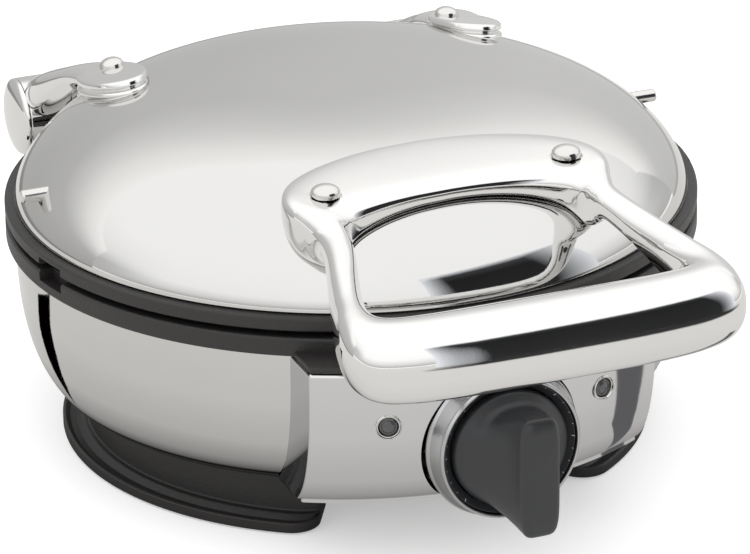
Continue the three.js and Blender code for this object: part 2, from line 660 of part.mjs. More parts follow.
node('lower_waffle_plate', wafflePlate(), NONSTICK);
node('lower_heating_element', heatingElement(), ELEMENT);
node('lower_heat_reflector', heatReflector(), ALUMINIUM);
node('thermal_fuse', rod(2.6, 20, 'x', 0, 0, PAN_Z - 3.2, 12), RESIN);
node('terminal_block', box(44, 16, 14, 0, 60, BOWL_Z + 7), RESIN);

// ---------------------------------------------------------------- hinge on the base

function hingeMount() {
  const plateY = RIM_R + 1;
  let mount = box(2 * KNUCKLE_IN_X + 10, 6, 30, 0, plateY + 3, 66)
    .add(box(2 * KNUCKLE_IN_X - 10, 14, 24, 0, plateY - 5, 66));
  for (const [, side] of SIDES) {
    const length = HINGE_SPLIT_X - GAP - KNUCKLE_IN_X;
    const centre = side * (KNUCKLE_IN_X + length / 2);
    mount = mount
      .add(rod(HINGE_R - 1, length, 'x', centre, HINGE_Y, HINGE_Z, SMALL_ROUND))
      .add(box(length, 18, HINGE_Z - 51, centre, plateY + 9, (HINGE_Z + 51) / 2));
  }
  return mount
    .subtract(bowlSolid(GAP))
    .subtract(rod(ROD_R + GAP, 4 * HINGE_OUT_X, 'x', 0, HINGE_Y, HINGE_Z));
}

node('hinge_mount', hingeMount(), CHROME);
node('hinge_rod', rod(ROD_R, 2 * (HINGE_OUT_X - 1), 'x', 0, HINGE_Y, HINGE_Z), ZINC);

// ---------------------------------------------------------------- lid

const DOME_STEPS = [0, 0.3, 0.5, 0.66, 0.78, 0.87, 0.93, 0.97, 1];

function domeSolid(grow) {
  const top = DOME_STEPS.map((t) => [t * (DOME_R + grow), domeHeight(t * DOME_R) + grow]);
  return revolve([...top, [DOME_R + grow, DOME_Z], [0, DOME_Z]]);
}

function domeLid() {
  const outside = DOME_STEPS.map((t) => [t * DOME_R, domeHeight(t * DOME_R)]);
  const edge = DOME_R - SHEET;
  const inside = DOME_STEPS.map((t) => [t * edge, domeHeight(t * edge, edge, DOME_RISE - SHEET)]).reverse();
  return revolve([...outside, ...inside]);
}

node('upper_rim', upperRim(), BLACK);
node('dome_lid', domeLid(), STEEL);
node('upper_waffle_plate', turnedOver(wafflePlate()), NONSTICK);
node('upper_heating_element', turnedOver(heatingElement()), ELEMENT);
node('upper_heat_reflector', turnedOver(heatReflector()), ALUMINIUM);

// Handle: a plate on the dome, two arms and a thick bar, one polished casting.
function handlePlate() {
  const half = HANDLE_HALF_W;
  const end = HANDLE_SCREW_Y;
  const plan = new THREE.Shape();
  plan.moveTo(-half, end + 1);
  plan.quadraticCurveTo(-half, end + 14, 10 - half, end + 19);
  plan.quadraticCurveTo(0, end + 49, half - 10, end + 19);
  plan.quadraticCurveTo(half, end + 14, half, end + 1);
  plan.lineTo(half, end - 19);
  plan.lineTo(half - 14, end - 21);
  plan.quadraticCurveTo(half - 18, end - 14, half - 28, end - 13);
  plan.quadraticCurveTo(0, end - 1, 28 - half, end - 13);
  plan.quadraticCurveTo(18 - half, end - 14, 14 - half, end - 21);
  plan.lineTo(-half, end - 19);
  const edge = 1.5;
  return extrude(plan, 20, HANDLE_TOP_Z - 20 - edge, {
    bevelEnabled: true, bevelThickness: edge, bevelSize: edge, bevelOffset: -edge, bevelSegments: 1,
  });
}

function handleLoop() {
  const half = [
    { x: 57, y: BAR_Y + 106, z: DOME_Z + 34.1, wide: 7, high: 5.5 },
    { x: 58, y: BAR_Y + 82, z: DOME_Z + 32.6, wide: 7, high: 6.5 },
    { x: 64, y: BAR_Y + 52, z: DOME_Z + 25.6, wide: 7, high: 7.5 },
    { x: 69.5, y: BAR_Y + 28, z: DOME_Z + 17.1, wide: 8.5, high: 10 },
    { x: BAR_HALF_SPAN, y: BAR_Y + 6, z: BAR_Z + 1.5, wide: 13, high: BAR_HALF_H - 1 },
    { x: BAR_HALF_SPAN - 24, y: BAR_Y + 1, z: BAR_Z, wide: BAR_HALF_DEPTH - 0.5, high: BAR_HALF_H },
  ];
  const station = (side) => ({ x, y, z, wide, high }) => (
    { at: new THREE.Vector3(side * x, y, z), wide, high });
  const middle = { at: new THREE.Vector3(0, BAR_Y, BAR_Z), wide: BAR_HALF_DEPTH, high: BAR_HALF_H };
  const path = [...half.map(station(-1)), middle, ...half.map(station(1)).reverse()];
  return ovalBar(path, 32, 12);
}

function handle() {
  let solid = handlePlate().add(handleLoop()).subtract(domeSolid(GAP));
  for (const [, side] of SIDES) {
    const x = side * HANDLE_SCREW_X;
    solid = solid
      .subtract(rod(SCREW_HEAD_R + 0.6, 10, 'z', x, HANDLE_SCREW_Y, HANDLE_TOP_Z + 3))
      .subtract(rod(2.6, 60, 'z', x, HANDLE_SCREW_Y, HANDLE_TOP_Z, 12));
  }
  return solid;
}

node('handle', handle(), CHROME);

// Screw along Z with a domed head whose seat is at the origin.
function domedScrew(headR, headH, stemR, stemL) {
  return revolve([
    [0, -stemL], [stemR, -stemL], [stemR, 0], [headR, 0], [headR, headH * 0.45],
    [headR * 0.8, headH * 0.85], [headR * 0.4, headH], [0, headH],
  ], SMALL_ROUND);
}

const handleScrewR = Math.hypot(HANDLE_SCREW_X, HANDLE_SCREW_Y);
const handleStem = HANDLE_TOP_Z - 2 - domeHeight(handleScrewR) - 2 * GAP;
for (const [name, side] of SIDES) {
  node(`handle_${name}_screw`, domedScrew(SCREW_HEAD_R, 4.6, 2.3, handleStem), ZINC,
    side * HANDLE_SCREW_X, HANDLE_SCREW_Y, HANDLE_TOP_Z - 2 + GAP);
}

// Hinge arm: an oval pad on the dome, an arm that drops behind the rim, and a barrel on the rod.
const hingeSeatZ = PAD_TOP_Z - Math.tan(PAD_SLOPE_X) * (HINGE_SCREW_X - PAD_X)
  - Math.tan(PAD_SLOPE_Y) * HINGE_SCREW_BACK - 0.5;

function hingeArm(side) {
  const at = (x, y, z) => new THREE.Vector3(side * x, y, z);
  const pad = new THREE.Shape().absellipse(side * PAD_X, PAD_Y, PAD_HALF_W, PAD_HALF_L, 0, 2 * Math.PI);
  const arm = ovalBar([
    { at: at(PAD_X, PAD_Y, PAD_TOP_Z - 3.8), wide: 11, high: 3.5 },
    { at: at(PAD_X + 1, PAD_Y + 22, PAD_TOP_Z - 7.3), wide: 11, high: 4 },
    { at: at(ARM_X, HINGE_Y - 40, DOME_Z + 19.1), wide: 10.5, high: 5 },
    { at: at(ARM_X, HINGE_Y - 16, DOME_Z + 5.6), wide: 9.8, high: 7 },
    { at: at(ARM_X, HINGE_Y, HINGE_Z + 2), wide: 9.6, high: 9 },
  ], 10, 12);
  const length = HINGE_OUT_X - HINGE_SPLIT_X - GAP;
  const centre = side * (HINGE_OUT_X - length / 2);
  const barrel = rod(HINGE_R, length, 'x', centre, HINGE_Y, HINGE_Z, SMALL_ROUND + 8);
  const slope = new THREE.Matrix4().makeRotationY(side * PAD_SLOPE_X);
  const tilted = new THREE.ExtrudeGeometry(pad, { depth: 26, bevelEnabled: false, curveSegments: 12 })
    .translate(-side * PAD_X, -PAD_Y, -26).applyMatrix4(slope)
    .rotateX(-PAD_SLOPE_Y).translate(side * PAD_X, PAD_Y, PAD_TOP_Z);
  return solidOf(tilted).add(arm).add(barrel)
    .subtract(domeSolid(GAP))
    .subtract(rod(RIM_R, 10, 'z', 0, 0, DOME_Z - 5 + GAP, ROUND))
    .subtract(rod(ROD_R + GAP, 60, 'x', side * ARM_X, HINGE_Y, HINGE_Z))
    .subtract(rod(2.6, 60, 'z', side * HINGE_SCREW_X, HINGE_SCREW_Y, hingeSeatZ, 12))
    .subtract(rod(HINGE_HEAD_R + 0.6, 20, 'z', side * HINGE_SCREW_X, HINGE_SCREW_Y, hingeSeatZ + 10));
}

const hingeScrewR = Math.hypot(HINGE_SCREW_X, HINGE_SCREW_Y);
const hingeStem = hingeSeatZ - domeHeight(hingeScrewR - 3) - GAP;
for (const [name, side] of SIDES) {
  node(`${name}_hinge_arm`, hingeArm(side), CHROME);
  node(`${name}_hinge_screw`, domedScrew(HINGE_HEAD_R, 5, 2.3, hingeStem), ZINC,
    side * HINGE_SCREW_X, HINGE_SCREW_Y, hingeSeatZ + GAP);
  node(`${name}_hinge_cap`, revolve([
    [0, GAP], [HINGE_R, GAP], [HINGE_R, 1.6], [HINGE_R * 0.75, CAP_BULGE * 0.75],
    [HINGE_R * 0.4, CAP_BULGE], [0, CAP_BULGE * 1.06],
  ], ROUND / 2), CHROME, side * HINGE_OUT_X, HINGE_Y, HINGE_Z, Math.PI / 2, side * Math.PI / 2);
  const root = DOME_R * 0.935;
  const stud = revolve([
    [0, 0], [STUD_R, 0], [STUD_R, STUD_TIP_X - root - 1.4], [STUD_R * 0.6, STUD_TIP_X - root - 0.4],
    [0, STUD_TIP_X - root],
  ], 16);
  node(`${name}_side_stud`, solidOf(geometryOf(stud).rotateY(side * Math.PI / 2)
    .translate(side * root, STUD_Y, DOME_Z + STUD_RISE)).subtract(domeSolid(GAP)), CHROME);
}

// The appliance stands with the middle of its footprint on the origin.
applianceAxis.position.y = -(HANDLE_FRONT_Y + HINGE_BACK_Y) / 2;
const waffleMaker = new THREE.Group();
waffleMaker.add(applianceAxis);

export default waffleMaker;
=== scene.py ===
"""Looks of the round waffle maker: smooth pieces, finishes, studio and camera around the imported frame."""
import math

import bmesh
import bpy
import numpy as np
from mathutils import Matrix, Vector


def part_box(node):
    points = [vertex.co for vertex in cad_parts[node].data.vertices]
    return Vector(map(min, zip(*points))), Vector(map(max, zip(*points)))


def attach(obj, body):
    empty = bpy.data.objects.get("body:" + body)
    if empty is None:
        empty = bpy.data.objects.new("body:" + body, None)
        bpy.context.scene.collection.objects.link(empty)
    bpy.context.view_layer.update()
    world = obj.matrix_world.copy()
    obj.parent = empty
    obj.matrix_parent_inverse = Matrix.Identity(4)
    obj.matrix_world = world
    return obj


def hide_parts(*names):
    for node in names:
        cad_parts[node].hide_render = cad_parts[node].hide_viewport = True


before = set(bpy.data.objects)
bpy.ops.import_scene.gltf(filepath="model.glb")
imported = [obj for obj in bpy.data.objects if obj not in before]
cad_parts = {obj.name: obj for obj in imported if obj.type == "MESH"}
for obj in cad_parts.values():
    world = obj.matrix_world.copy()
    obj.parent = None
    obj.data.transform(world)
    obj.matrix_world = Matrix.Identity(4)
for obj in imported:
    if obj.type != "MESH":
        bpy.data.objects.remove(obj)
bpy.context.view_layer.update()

# ------------------------------------------------------------------ places, from the frame
# Lengths in this file are millimetres about the appliance's upright axis, +Z up, the user at -Y.

dome_low, dome_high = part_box("dome_lid")
AXIS = np.array([(dome_low.x + dome_high.x) / 2, (dome_low.y + dome_high.y) / 2, 0.0])


def span(node):
    """Lowest and highest corner of a CAD node, in millimetres about the axis."""
    low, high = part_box(node)
    return (np.array(low) - AXIS) * 1000, (np.array(high) - AXIS) * 1000


def middle(node):
    """Centre of a CAD node's box, in millimetres about the axis."""
    low, high = span(node)
    return (low + high) / 2


BOWL_Z, BOWL_TOP = span("base_bowl")[0][2], span("base_bowl")[1][2]
BOWL_TOP_R = span("base_bowl")[1][0]
RIM_R = span("upper_rim")[1][0]
LOWER_RIM_Z, LOWER_RIM_TOP = span("lower_rim")[0][2], span("lower_rim")[1][2]
UPPER_RIM_Z, UPPER_RIM_TOP = span("upper_rim")[0][2], span("upper_rim")[1][2]
DOME_R, DOME_Z = span("dome_lid")[1][0], span("dome_lid")[0][2]
DOME_RISE = span("dome_lid")[1][2] - DOME_Z
PANEL_WIDENED = 3  # on each side of the CAD's panel
PANEL_HALF_W = span("control_panel")[1][0] + PANEL_WIDENED
KNOB_Z = middle("knob_collar")[2]
COLLAR_R = span("knob_collar")[1][0]
COLLAR_LIP_Y = span("knob_collar")[0][1]
HINGE_Y, HINGE_Z = middle("hinge_rod")[1:]
BOWL_FOOT_R = 118.5
RIM_BORE_R = 127.6
SHEET = 1.4
PANEL_STANDOFF = 18.8
COLLAR_REACH = 9.5
FACE_Y = COLLAR_LIP_Y + COLLAR_REACH
STEAM_SLOT_ANGLE = math.radians(10.8)


def bowl_radius(z):
    s = np.clip((z - BOWL_Z) / (BOWL_TOP - BOWL_Z), 0, 1)
    return BOWL_FOOT_R + (BOWL_TOP_R - BOWL_FOOT_R) * (1 - (1 - s) ** 2.6) ** 0.6


def dome_height(r, edge=None, rise=None):
    edge = DOME_R if edge is None else edge
    rise = DOME_RISE if rise is None else rise
    return DOME_Z + rise * (1 - np.clip(r / edge, 0, 1) ** 3.6) ** 0.625


# ------------------------------------------------------------------ finishes

def new_material(name):
    material = bpy.data.materials.new(name)
    material.use_nodes = True
    nodes, links = material.node_tree.nodes, material.node_tree.links
    shader = nodes["Principled BSDF"]
    place = nodes.new("ShaderNodeTexCoord").outputs["Object"]
    return material, nodes, links, shader, place


def noise(nodes, links, place, scale, detail=4.0, rough=0.55, stretch=(1, 1, 1)):
    mapping = nodes.new("ShaderNodeMapping")
    mapping.inputs["Scale"].default_value = stretch
    texture = nodes.new("ShaderNodeTexNoise")
    texture.inputs["Scale"].default_value = scale
    texture.inputs["Detail"].default_value = detail
    texture.inputs["Roughness"].default_value = rough
    links.new(place, mapping.inputs["Vector"])
    links.new(mapping.outputs["Vector"], texture.inputs["Vector"])
    return texture.outputs["Fac"]


def spread(nodes, links, value, low, high, start=0.3, end=0.7):
    ranged = nodes.new("ShaderNodeMapRange")
    ranged.inputs["From Min"].default_value = start
    ranged.inputs["From Max"].default_value = end
    ranged.inputs["To Min"].default_value = low
    ranged.inputs["To Max"].default_value = high
    links.new(value, ranged.inputs["Value"])
    return ranged.outputs["Result"]


def tint(nodes, links, value, first, second):
    mix = nodes.new("ShaderNodeMix")
    mix.data_type = "RGBA"
    mix.inputs[6].default_value = (*first, 1)
    mix.inputs[7].default_value = (*second, 1)
    links.new(value, mix.inputs[0])
    return mix.outputs[2]


def bump(nodes, links, shader, height, strength, distance):
    relief = nodes.new("ShaderNodeBump")
    relief.inputs["Strength"].default_value = strength
    relief.inputs["Distance"].default_value = distance
    links.new(height, relief.inputs["Height"])
    links.new(relief.outputs["Normal"], shader.inputs["Normal"])


def metal(name, color, rough, rough_to, grain=900, stretch=(1, 1, 1), strength=0.02, metallic=1.0):
    """Bare or plated metal: haze that varies slowly, and a fine polishing grain."""
    material, nodes, links, shader, place = new_material(name)
    haze = noise(nodes, links, place, 28, 3)
    fine = noise(nodes, links, place, grain, 3, 0.6, stretch)
    links.new(spread(nodes, links, haze, rough, rough_to), shader.inputs["Roughness"])
    darker = tuple(c * 0.965 for c in color)
    links.new(tint(nodes, links, haze, darker, color), shader.inputs["Base Color"])
    bump(nodes, links, shader, fine, strength, 0.0002)
    shader.inputs["Metallic"].default_value = metallic
    return material


def plastic(name, color, rough, rough_to, grain, strength, distance=0.0003, lighter=1.25):
    """Moulded plastic: spark-eroded grain in the surface and a slight mottle in its colour."""
    material, nodes, links, shader, place = new_material(name)
    mottle = noise(nodes, links, place, 60, 3)
    texture = noise(nodes, links, place, grain, 3, 0.6)
    pale = tuple(c * lighter for c in color)
    links.new(tint(nodes, links, mottle, color, pale), shader.inputs["Base Color"])
    links.new(spread(nodes, links, texture, rough, rough_to), shader.inputs["Roughness"])
    bump(nodes, links, shader, texture, strength, distance)
    return material


def smoked_lens(name):
    material, nodes, links, shader, place = new_material(name)
    ripple = noise(nodes, links, place, 700, 2)
    smoke = tint(nodes, links, ripple, (0.045, 0.046, 0.05), (0.075, 0.076, 0.08))
    links.new(smoke, shader.inputs["Base Color"])
    links.new(spread(nodes, links, ripple, 0.08, 0.16), shader.inputs["Roughness"])
    bump(nodes, links, shader, ripple, 0.15, 0.0002)
    shader.inputs["Coat Weight"].default_value = 0.6
    shader.inputs["Coat Roughness"].default_value = 0.05
    return material


def nonstick(name):
    material, nodes, links, shader, place = new_material(name)
    fleck = noise(nodes, links, place, 1500, 2, 0.7)
    peel = noise(nodes, links, place, 420, 3)
    links.new(tint(nodes, links, spread(nodes, links, fleck, 0, 1, 0.62, 0.7), (0.016, 0.016, 0.017),
                   (0.07, 0.07, 0.075)), shader.inputs["Base Color"])
    links.new(spread(nodes, links, peel, 0.3, 0.42), shader.inputs["Roughness"])
    bump(nodes, links, shader, peel, 0.25, 0.0003)
    shader.inputs["Metallic"].default_value = 0.15
    return material


FINISH = {
    "polished_steel": metal("polished_steel", (0.66, 0.655, 0.645), 0.03, 0.06),
    "black_plastic": plastic("black_plastic", (0.016, 0.0145, 0.014), 0.40, 0.56, 1500, 0.6),
    "satin_silver": metal("satin_silver", (0.66, 0.66, 0.665), 0.05, 0.09, 1400),
    "polished_cast": metal("polished_cast", (0.80, 0.795, 0.785), 0.03, 0.06, 500, strength=0.03),
    "lamp_lens": smoked_lens("lamp_lens"),
    "moulded_resin": plastic("moulded_resin", (0.22, 0.055, 0.035), 0.35, 0.5, 1200, 0.3),
    "knob_plastic": plastic("knob_plastic", (0.022, 0.023, 0.025), 0.32, 0.42, 2200, 0.12, 0.0002),
    "knob_mark": plastic("knob_mark", (0.50, 0.51, 0.52), 0.4, 0.5, 1800, 0.1),
    "plated_steel": metal("plated_steel", (0.70, 0.69, 0.67), 0.08, 0.16, 1100),
    "rubber_pad": plastic("rubber_pad", (0.020, 0.020, 0.020), 0.75, 0.9, 900, 0.5),
    "nonstick_plate": nonstick("nonstick_plate"),
    "element_sheath": metal("element_sheath", (0.20, 0.165, 0.14), 0.4, 0.6, 1200, strength=0.2),
    "reflector_sheet": metal("reflector_sheet", (0.72, 0.73, 0.74), 0.22, 0.34, 1600, (1, 12, 1), 0.12),
}

# ------------------------------------------------------------------ mesh building

def soften(mesh, limit=38):
    """Smooth shading, with edges sharper than the limit kept crisp."""
    work = bmesh.new()
    work.from_mesh(mesh)
    bmesh.ops.remove_doubles(work, verts=work.verts, dist=2e-6)
    bmesh.ops.recalc_face_normals(work, faces=work.faces)
    for face in work.faces:
        face.smooth = True
    for edge in work.edges:
        if len(edge.link_faces) == 2 and edge.calc_face_angle(0) > math.radians(limit):
            edge.smooth = False
    work.to_mesh(mesh)
    work.free()


def finish_piece(obj, body, slot, nodes=()):
    obj.data.materials.clear()
    obj.data.materials.append(FINISH[slot])
    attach(obj, body)
    if nodes:
        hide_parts(*nodes)
    return obj


def object_from(name, parts, limit=38):
    """One object from several (points, faces) parts given in millimetres about the axis."""
    points, faces = [], []
    for part_points, part_faces in parts:
        faces += [tuple(i + len(points) for i in face) for face in part_faces]
        points += [tuple(AXIS + np.array(p) / 1000) for p in part_points]
    mesh = bpy.data.meshes.new(name)
    mesh.from_pydata(points, [], faces)
    soften(mesh, limit)
    obj = bpy.data.objects.new(name, mesh)
    bpy.context.scene.collection.objects.link(obj)
    return obj


def piece(name, parts, body, slot, *nodes, limit=38):
    return finish_piece(object_from(name, parts, limit), body, slot, nodes)


def grid(rows, wrap_rows=False, wrap_cols=True, cap_first=False, cap_last=False):
    """Faces over rows of points that all have the same count."""
    rows = np.asarray(rows, float)
    count, width = rows.shape[:2]
    faces = []
    for i in range(count if wrap_rows else count - 1):
        for j in range(width if wrap_cols else width - 1):
            a, b = i * width + j, i * width + (j + 1) % width
            c, d = (i + 1) % count * width + (j + 1) % width, (i + 1) % count * width + j
            faces.append((a, b, c, d))
    if cap_first:
        faces.append(tuple(range(width))[::-1])
    if cap_last:
        faces.append(tuple((count - 1) * width + j for j in range(width)))
    return rows.reshape(-1, 3), faces


def rounded(corners, steps=5):
    """Closed outline from (x, y, radius) corners, each turned into an arc with a support point each side."""
    outline = []
    count = len(corners)
    for i, (x, y, radius) in enumerate(corners):
        here = np.array([x, y], float)
        back = np.array(corners[i - 1][:2], float) - here
        ahead = np.array(corners[(i + 1) % count][:2], float) - here
        room = min(np.hypot(*back), np.hypot(*ahead))
        back, ahead = back / max(np.hypot(*back), 1e-9), ahead / max(np.hypot(*ahead), 1e-9)
        half = math.acos(float(np.clip(back @ ahead, -1, 1))) / 2
        if radius <= 0:
            outline.append(here)
            continue
        reach = min(radius / max(math.tan(half), 1e-6), 0.4 * room) if half < 1.5 else 0.2 * room
        first, last, weight = here + back * reach, here + ahead * reach, math.sin(half)
        outline.append(here + back * min(reach * 1.25, 0.45 * room))
        for t in np.linspace(0, 1, steps + 1):
            share = np.array([(1 - t) ** 2, 2 * weight * t * (1 - t), t ** 2])
            outline.append((share[0] * first + share[1] * here + share[2] * last) / share.sum())
        outline.append(here + ahead * min(reach * 1.25, 0.45 * room))
    return np.array(outline)


def turned(profile, segments=160, close=True):
    """Solid of revolution about the upright axis from (radius, height) points."""
    profile = np.asarray(profile, float)
    angles = np.linspace(0, 2 * math.pi, segments, endpoint=False)
    rows = [[(r * math.cos(a), r * math.sin(a), z) for a in angles] for r, z in profile]
    return grid(rows, wrap_rows=close)


def placed(part, matrix):
    points, faces = part
    points = np.asarray(points) @ np.array(matrix.to_3x3()).T + np.array(matrix.translation)
    return points, faces


def looking(origin, direction):
    """Matrix that turns +Z onto a direction at a place."""
    turn = Vector(direction).to_track_quat("Z", "Y").to_matrix().to_4x4()
    return Matrix.Translation(Vector(origin)) @ turn


KNOB_PLACE = looking((0, FACE_Y, KNOB_Z), (0, -1, 0))


def block(low, high, radius, segments=3):
    """Box with rounded edges."""
    low, high = np.array(low, float), np.array(high, float)
    work = bmesh.new()
    bmesh.ops.create_cube(work, size=1)
    for vert in work.verts:
        vert.co = Vector((low + high) / 2 + np.array(vert.co) * (high - low))
    bmesh.ops.bevel(work, geom=work.edges, offset=radius, segments=segments, profile=0.5, affect="EDGES")
    work.verts.index_update()
    part = [tuple(v.co) for v in work.verts], [tuple(v.index for v in f.verts) for f in work.faces]
    work.free()
    return part


def eased(stations, count):
    """Smooth rows of numbers through stations, by Catmull-Rom."""
    stations = np.asarray(stations, float)
    ends = np.vstack([2 * stations[0] - stations[1], stations, 2 * stations[-1] - stations[-2]])
    out = []
    for t in np.linspace(0, len(stations) - 1, count):
        i = min(int(t), len(stations) - 2)
        f = t - i
        p0, p1, p2, p3 = ends[i:i + 4]
        out.append(0.5 * (2 * p1 + (p2 - p0) * f + (2 * p0 - 5 * p1 + 4 * p2 - p3) * f ** 2
                          + (3 * p1 - p0 - 3 * p2 + p3) * f ** 3))
    return np.array(out)


def cut(obj, parts):
    """Subtracts closed parts from an object."""
    cutter = object_from(obj.name + "_cutter", parts)
    modifier = obj.modifiers.new("cut", "BOOLEAN")
    modifier.object, modifier.solver, modifier.operation = cutter, "EXACT", "DIFFERENCE"
    bpy.context.view_layer.update()
    result = bpy.data.meshes.new_from_object(obj.evaluated_get(bpy.context.evaluated_depsgraph_get()))
    obj.modifiers.clear()
    obj.data = result
    bpy.data.objects.remove(cutter)
    soften(obj.data)
    return obj


def super_power(value, exponent):
    return np.sign(value) * np.abs(value) ** exponent


# ------------------------------------------------------------------ bowl, dome and rims

def bowl():
    heights = BOWL_Z + (BOWL_TOP - BOWL_Z) * np.linspace(0.02, 1, 60) ** 1.4
    wall = [(bowl_radius(z), z) for z in heights]
    foot_r = bowl_radius(heights[0])
    turn = [(foot_r - 1.6, BOWL_Z), (foot_r - 0.7, BOWL_Z + 0.06)]
    inside = [(r - SHEET, z) for r, z in wall[::-1]]
    under = [(foot_r - 2.4, BOWL_Z + SHEET), (100, BOWL_Z + SHEET), (100, BOWL_Z)]
    return turned(turn + wall + inside + under, 256)


def dome():
    flat = np.linspace(0, 0.9, 40) * DOME_R
    edge_z = np.linspace(float(dome_height(0.9 * DOME_R)) - DOME_Z, 0, 40)[1:] / DOME_RISE
    steep = DOME_R * (1 - edge_z ** 1.6) ** (1 / 3.6)
    outside = [(r, float(dome_height(r))) for r in np.concatenate([flat, steep])]
    outside[-1] = (DOME_R, DOME_Z + 0.5)
    hem = [(DOME_R - 0.2, DOME_Z + 0.12), (DOME_R - 0.7, DOME_Z), (DOME_R - 1.2, DOME_Z + 0.12)]
    inner = DOME_R - SHEET
    inside = [(r * inner / DOME_R, float(dome_height(r * inner / DOME_R, inner, DOME_RISE - SHEET)))
              for r, _ in outside[::-1][1:]]
    return turned(outside + hem + inside, 256, close=False)


NOTCH_HALF = math.asin(8.5 / RIM_R)
NOTCH_R = RIM_R - 6


def rim(bottom, top, notch_from, notch_to, outer_edge=1.2):
    """Rim with a steam notch at each side; the notch lies between two heights."""
    at_top = notch_to >= top
    angles = list(np.linspace(0, 2 * math.pi, 288, endpoint=False))
    sides = (math.pi + STEAM_SLOT_ANGLE, 2 * math.pi - STEAM_SLOT_ANGLE)
    for side in sides:
        for edge in (-NOTCH_HALF, NOTCH_HALF):
            angles += [side + edge - 0.0004, side + edge + 0.0004]
    rows = []
    for angle in sorted(angles):
        notched = any(abs(angle - side) < NOTCH_HALF for side in sides)
        if at_top and notched:
            step = [(RIM_R, notch_from, 0.3), (NOTCH_R, notch_from, 0.3), (NOTCH_R, top, 0.3)]
        elif at_top:
            step = [(RIM_R, top, outer_edge), (RIM_R - 3, top, 0.3), (NOTCH_R, top, 0.3)]
        elif notched:
            step = [(NOTCH_R, bottom, 0.3), (NOTCH_R, notch_to, 0.3), (RIM_R, notch_to, 0.3)]
        else:
            step = [(NOTCH_R, bottom, 0.3), (RIM_R - 3, bottom, 0.3), (RIM_R, bottom, outer_edge)]
        if at_top:
            corners = [(RIM_BORE_R, bottom, 0.4), (RIM_R, bottom, outer_edge), *step, (RIM_BORE_R, top, 0.4)]
        else:
            corners = [(RIM_BORE_R, bottom, 0.4), *step, (RIM_R, top, outer_edge), (RIM_BORE_R, top, 0.4)]
        rows.append([(r * math.cos(angle), r * math.sin(angle), z) for r, z in rounded(corners, 4)])
    return grid(rows, wrap_rows=True)


def panel_outline(z, inset, wall=0.0, back=0.0, count=72):
    """Open plan line of the control panel at a height: left side, front arc, right side."""
    reach = float(bowl_radius(z)) + PANEL_STANDOFF - inset - wall
    half = PANEL_HALF_W - inset - wall
    behind = -math.sqrt((float(bowl_radius(z)) + 1.1 + back) ** 2 - half ** 2)
    edge = math.asin(half / reach)
    corner = 2.4 / reach
    arc = [(reach * math.sin(a), -reach * math.cos(a), 0.0)
           for a in np.linspace(-edge + corner, edge - corner, count)]
    front = -math.sqrt(reach ** 2 - half ** 2)
    line = [(-half, behind, 0.0), (-half, front, 1.8), *arc, (half, front, 1.8), (half, behind, 0.0)]
    return rounded(line, 6)


def panel_heights():
    """Heights up the panel's wall, with the inset that rounds its lower and upper edges."""
    rise = BOWL_TOP - BOWL_Z
    foot_r, top_r = 2.2, 1.7
    low = [(BOWL_Z + foot_r * (1 - math.cos(a)), foot_r * (1 - math.sin(a)))
           for a in np.linspace(0, math.pi / 2, 7)]
    mid = [(BOWL_Z + rise * s, 0.0) for s in np.linspace(0.05, 0.965, 40)]
    high = [(BOWL_TOP - top_r * (1 - math.sin(a)), top_r * (1 - math.cos(a)))
            for a in np.linspace(0, math.pi / 2, 8)]
    return low + mid + high


def control_panel():
    outer = [[(x, y, z) for x, y in panel_outline(z, inset)] for z, inset in panel_heights()]
    inner = [[(x, y, z) for x, y in panel_outline(z, inset, 2.0)] for z, inset in panel_heights()]
    rings = [a + b[::-1] for a, b in zip(outer, inner)]
    width = len(outer[0])
    points, faces = grid(rings)
    last = (len(rings) - 1) * 2 * width
    for base in (0, last):
        for j in range(width - 1):
            faces.append((base + j, base + j + 1, base + 2 * width - 2 - j, base + 2 * width - 1 - j))
    return points, faces


def panel_floor():
    """Sheet that closes the panel underneath, between the bowl and the panel's wall."""
    rows = []
    for z in (BOWL_Z + 0.3, BOWL_Z + 1.8):
        front = [(x, y, z) for x, y in panel_outline(BOWL_Z + 3, 0, 1.5)]
        half = front[0][0]
        reach = float(bowl_radius(BOWL_Z + 2)) + 0.2
        angles = np.linspace(math.asin(-half / reach), math.asin(half / reach), 24)
        rows.append(front + [(reach * math.sin(a), -reach * math.cos(a), z) for a in angles])
    return grid(rows, cap_first=True, cap_last=True)


def ledge():
    """Plastic ledge of the lower rim that caps the control panel."""
    bottom, top = LOWER_RIM_Z, LOWER_RIM_Z + 2.4
    rows = []
    for z, inset in ((bottom, 0.5), (bottom + 0.15, 0.2), (bottom + 0.5, 0.0), (top - 0.7, 0.0),
                     (top - 0.2, 0.25), (top, 0.8)):
        front = [(x, y, z) for x, y in panel_outline(BOWL_TOP, 0.4 + inset)]
        half = front[0][0]
        reach = RIM_R - 4
        angles = np.linspace(math.asin(-half / reach), math.asin(half / reach), 24)
        rows.append(front + [(reach * math.sin(a), -reach * math.cos(a), z) for a in angles])
    return grid(rows, cap_first=True, cap_last=True)


shell = object_from("bowl_shell", [bowl()])
SHAFT_HOLE = [(0, -40), (6, -40), (6, -10), (0, -10)]  # clears the thermostat's shaft
cut(shell, [placed(turned(SHAFT_HOLE, 48, False), KNOB_PLACE)])
finish_piece(shell, "base", "polished_steel", ("base_bowl",))
piece("dome_shell", [dome()], "lid", "polished_steel", "dome_lid")
piece("lower_plastic_rim", [rim(LOWER_RIM_Z, LOWER_RIM_TOP, LOWER_RIM_TOP - 4, LOWER_RIM_TOP), ledge()],
      "base", "black_plastic", "lower_rim")
piece("upper_plastic_rim", [rim(UPPER_RIM_Z, UPPER_RIM_TOP, UPPER_RIM_Z, UPPER_RIM_Z + 3.4)],
      "lid", "black_plastic", "upper_rim")

# ------------------------------------------------------------------ control panel, lamps and knob

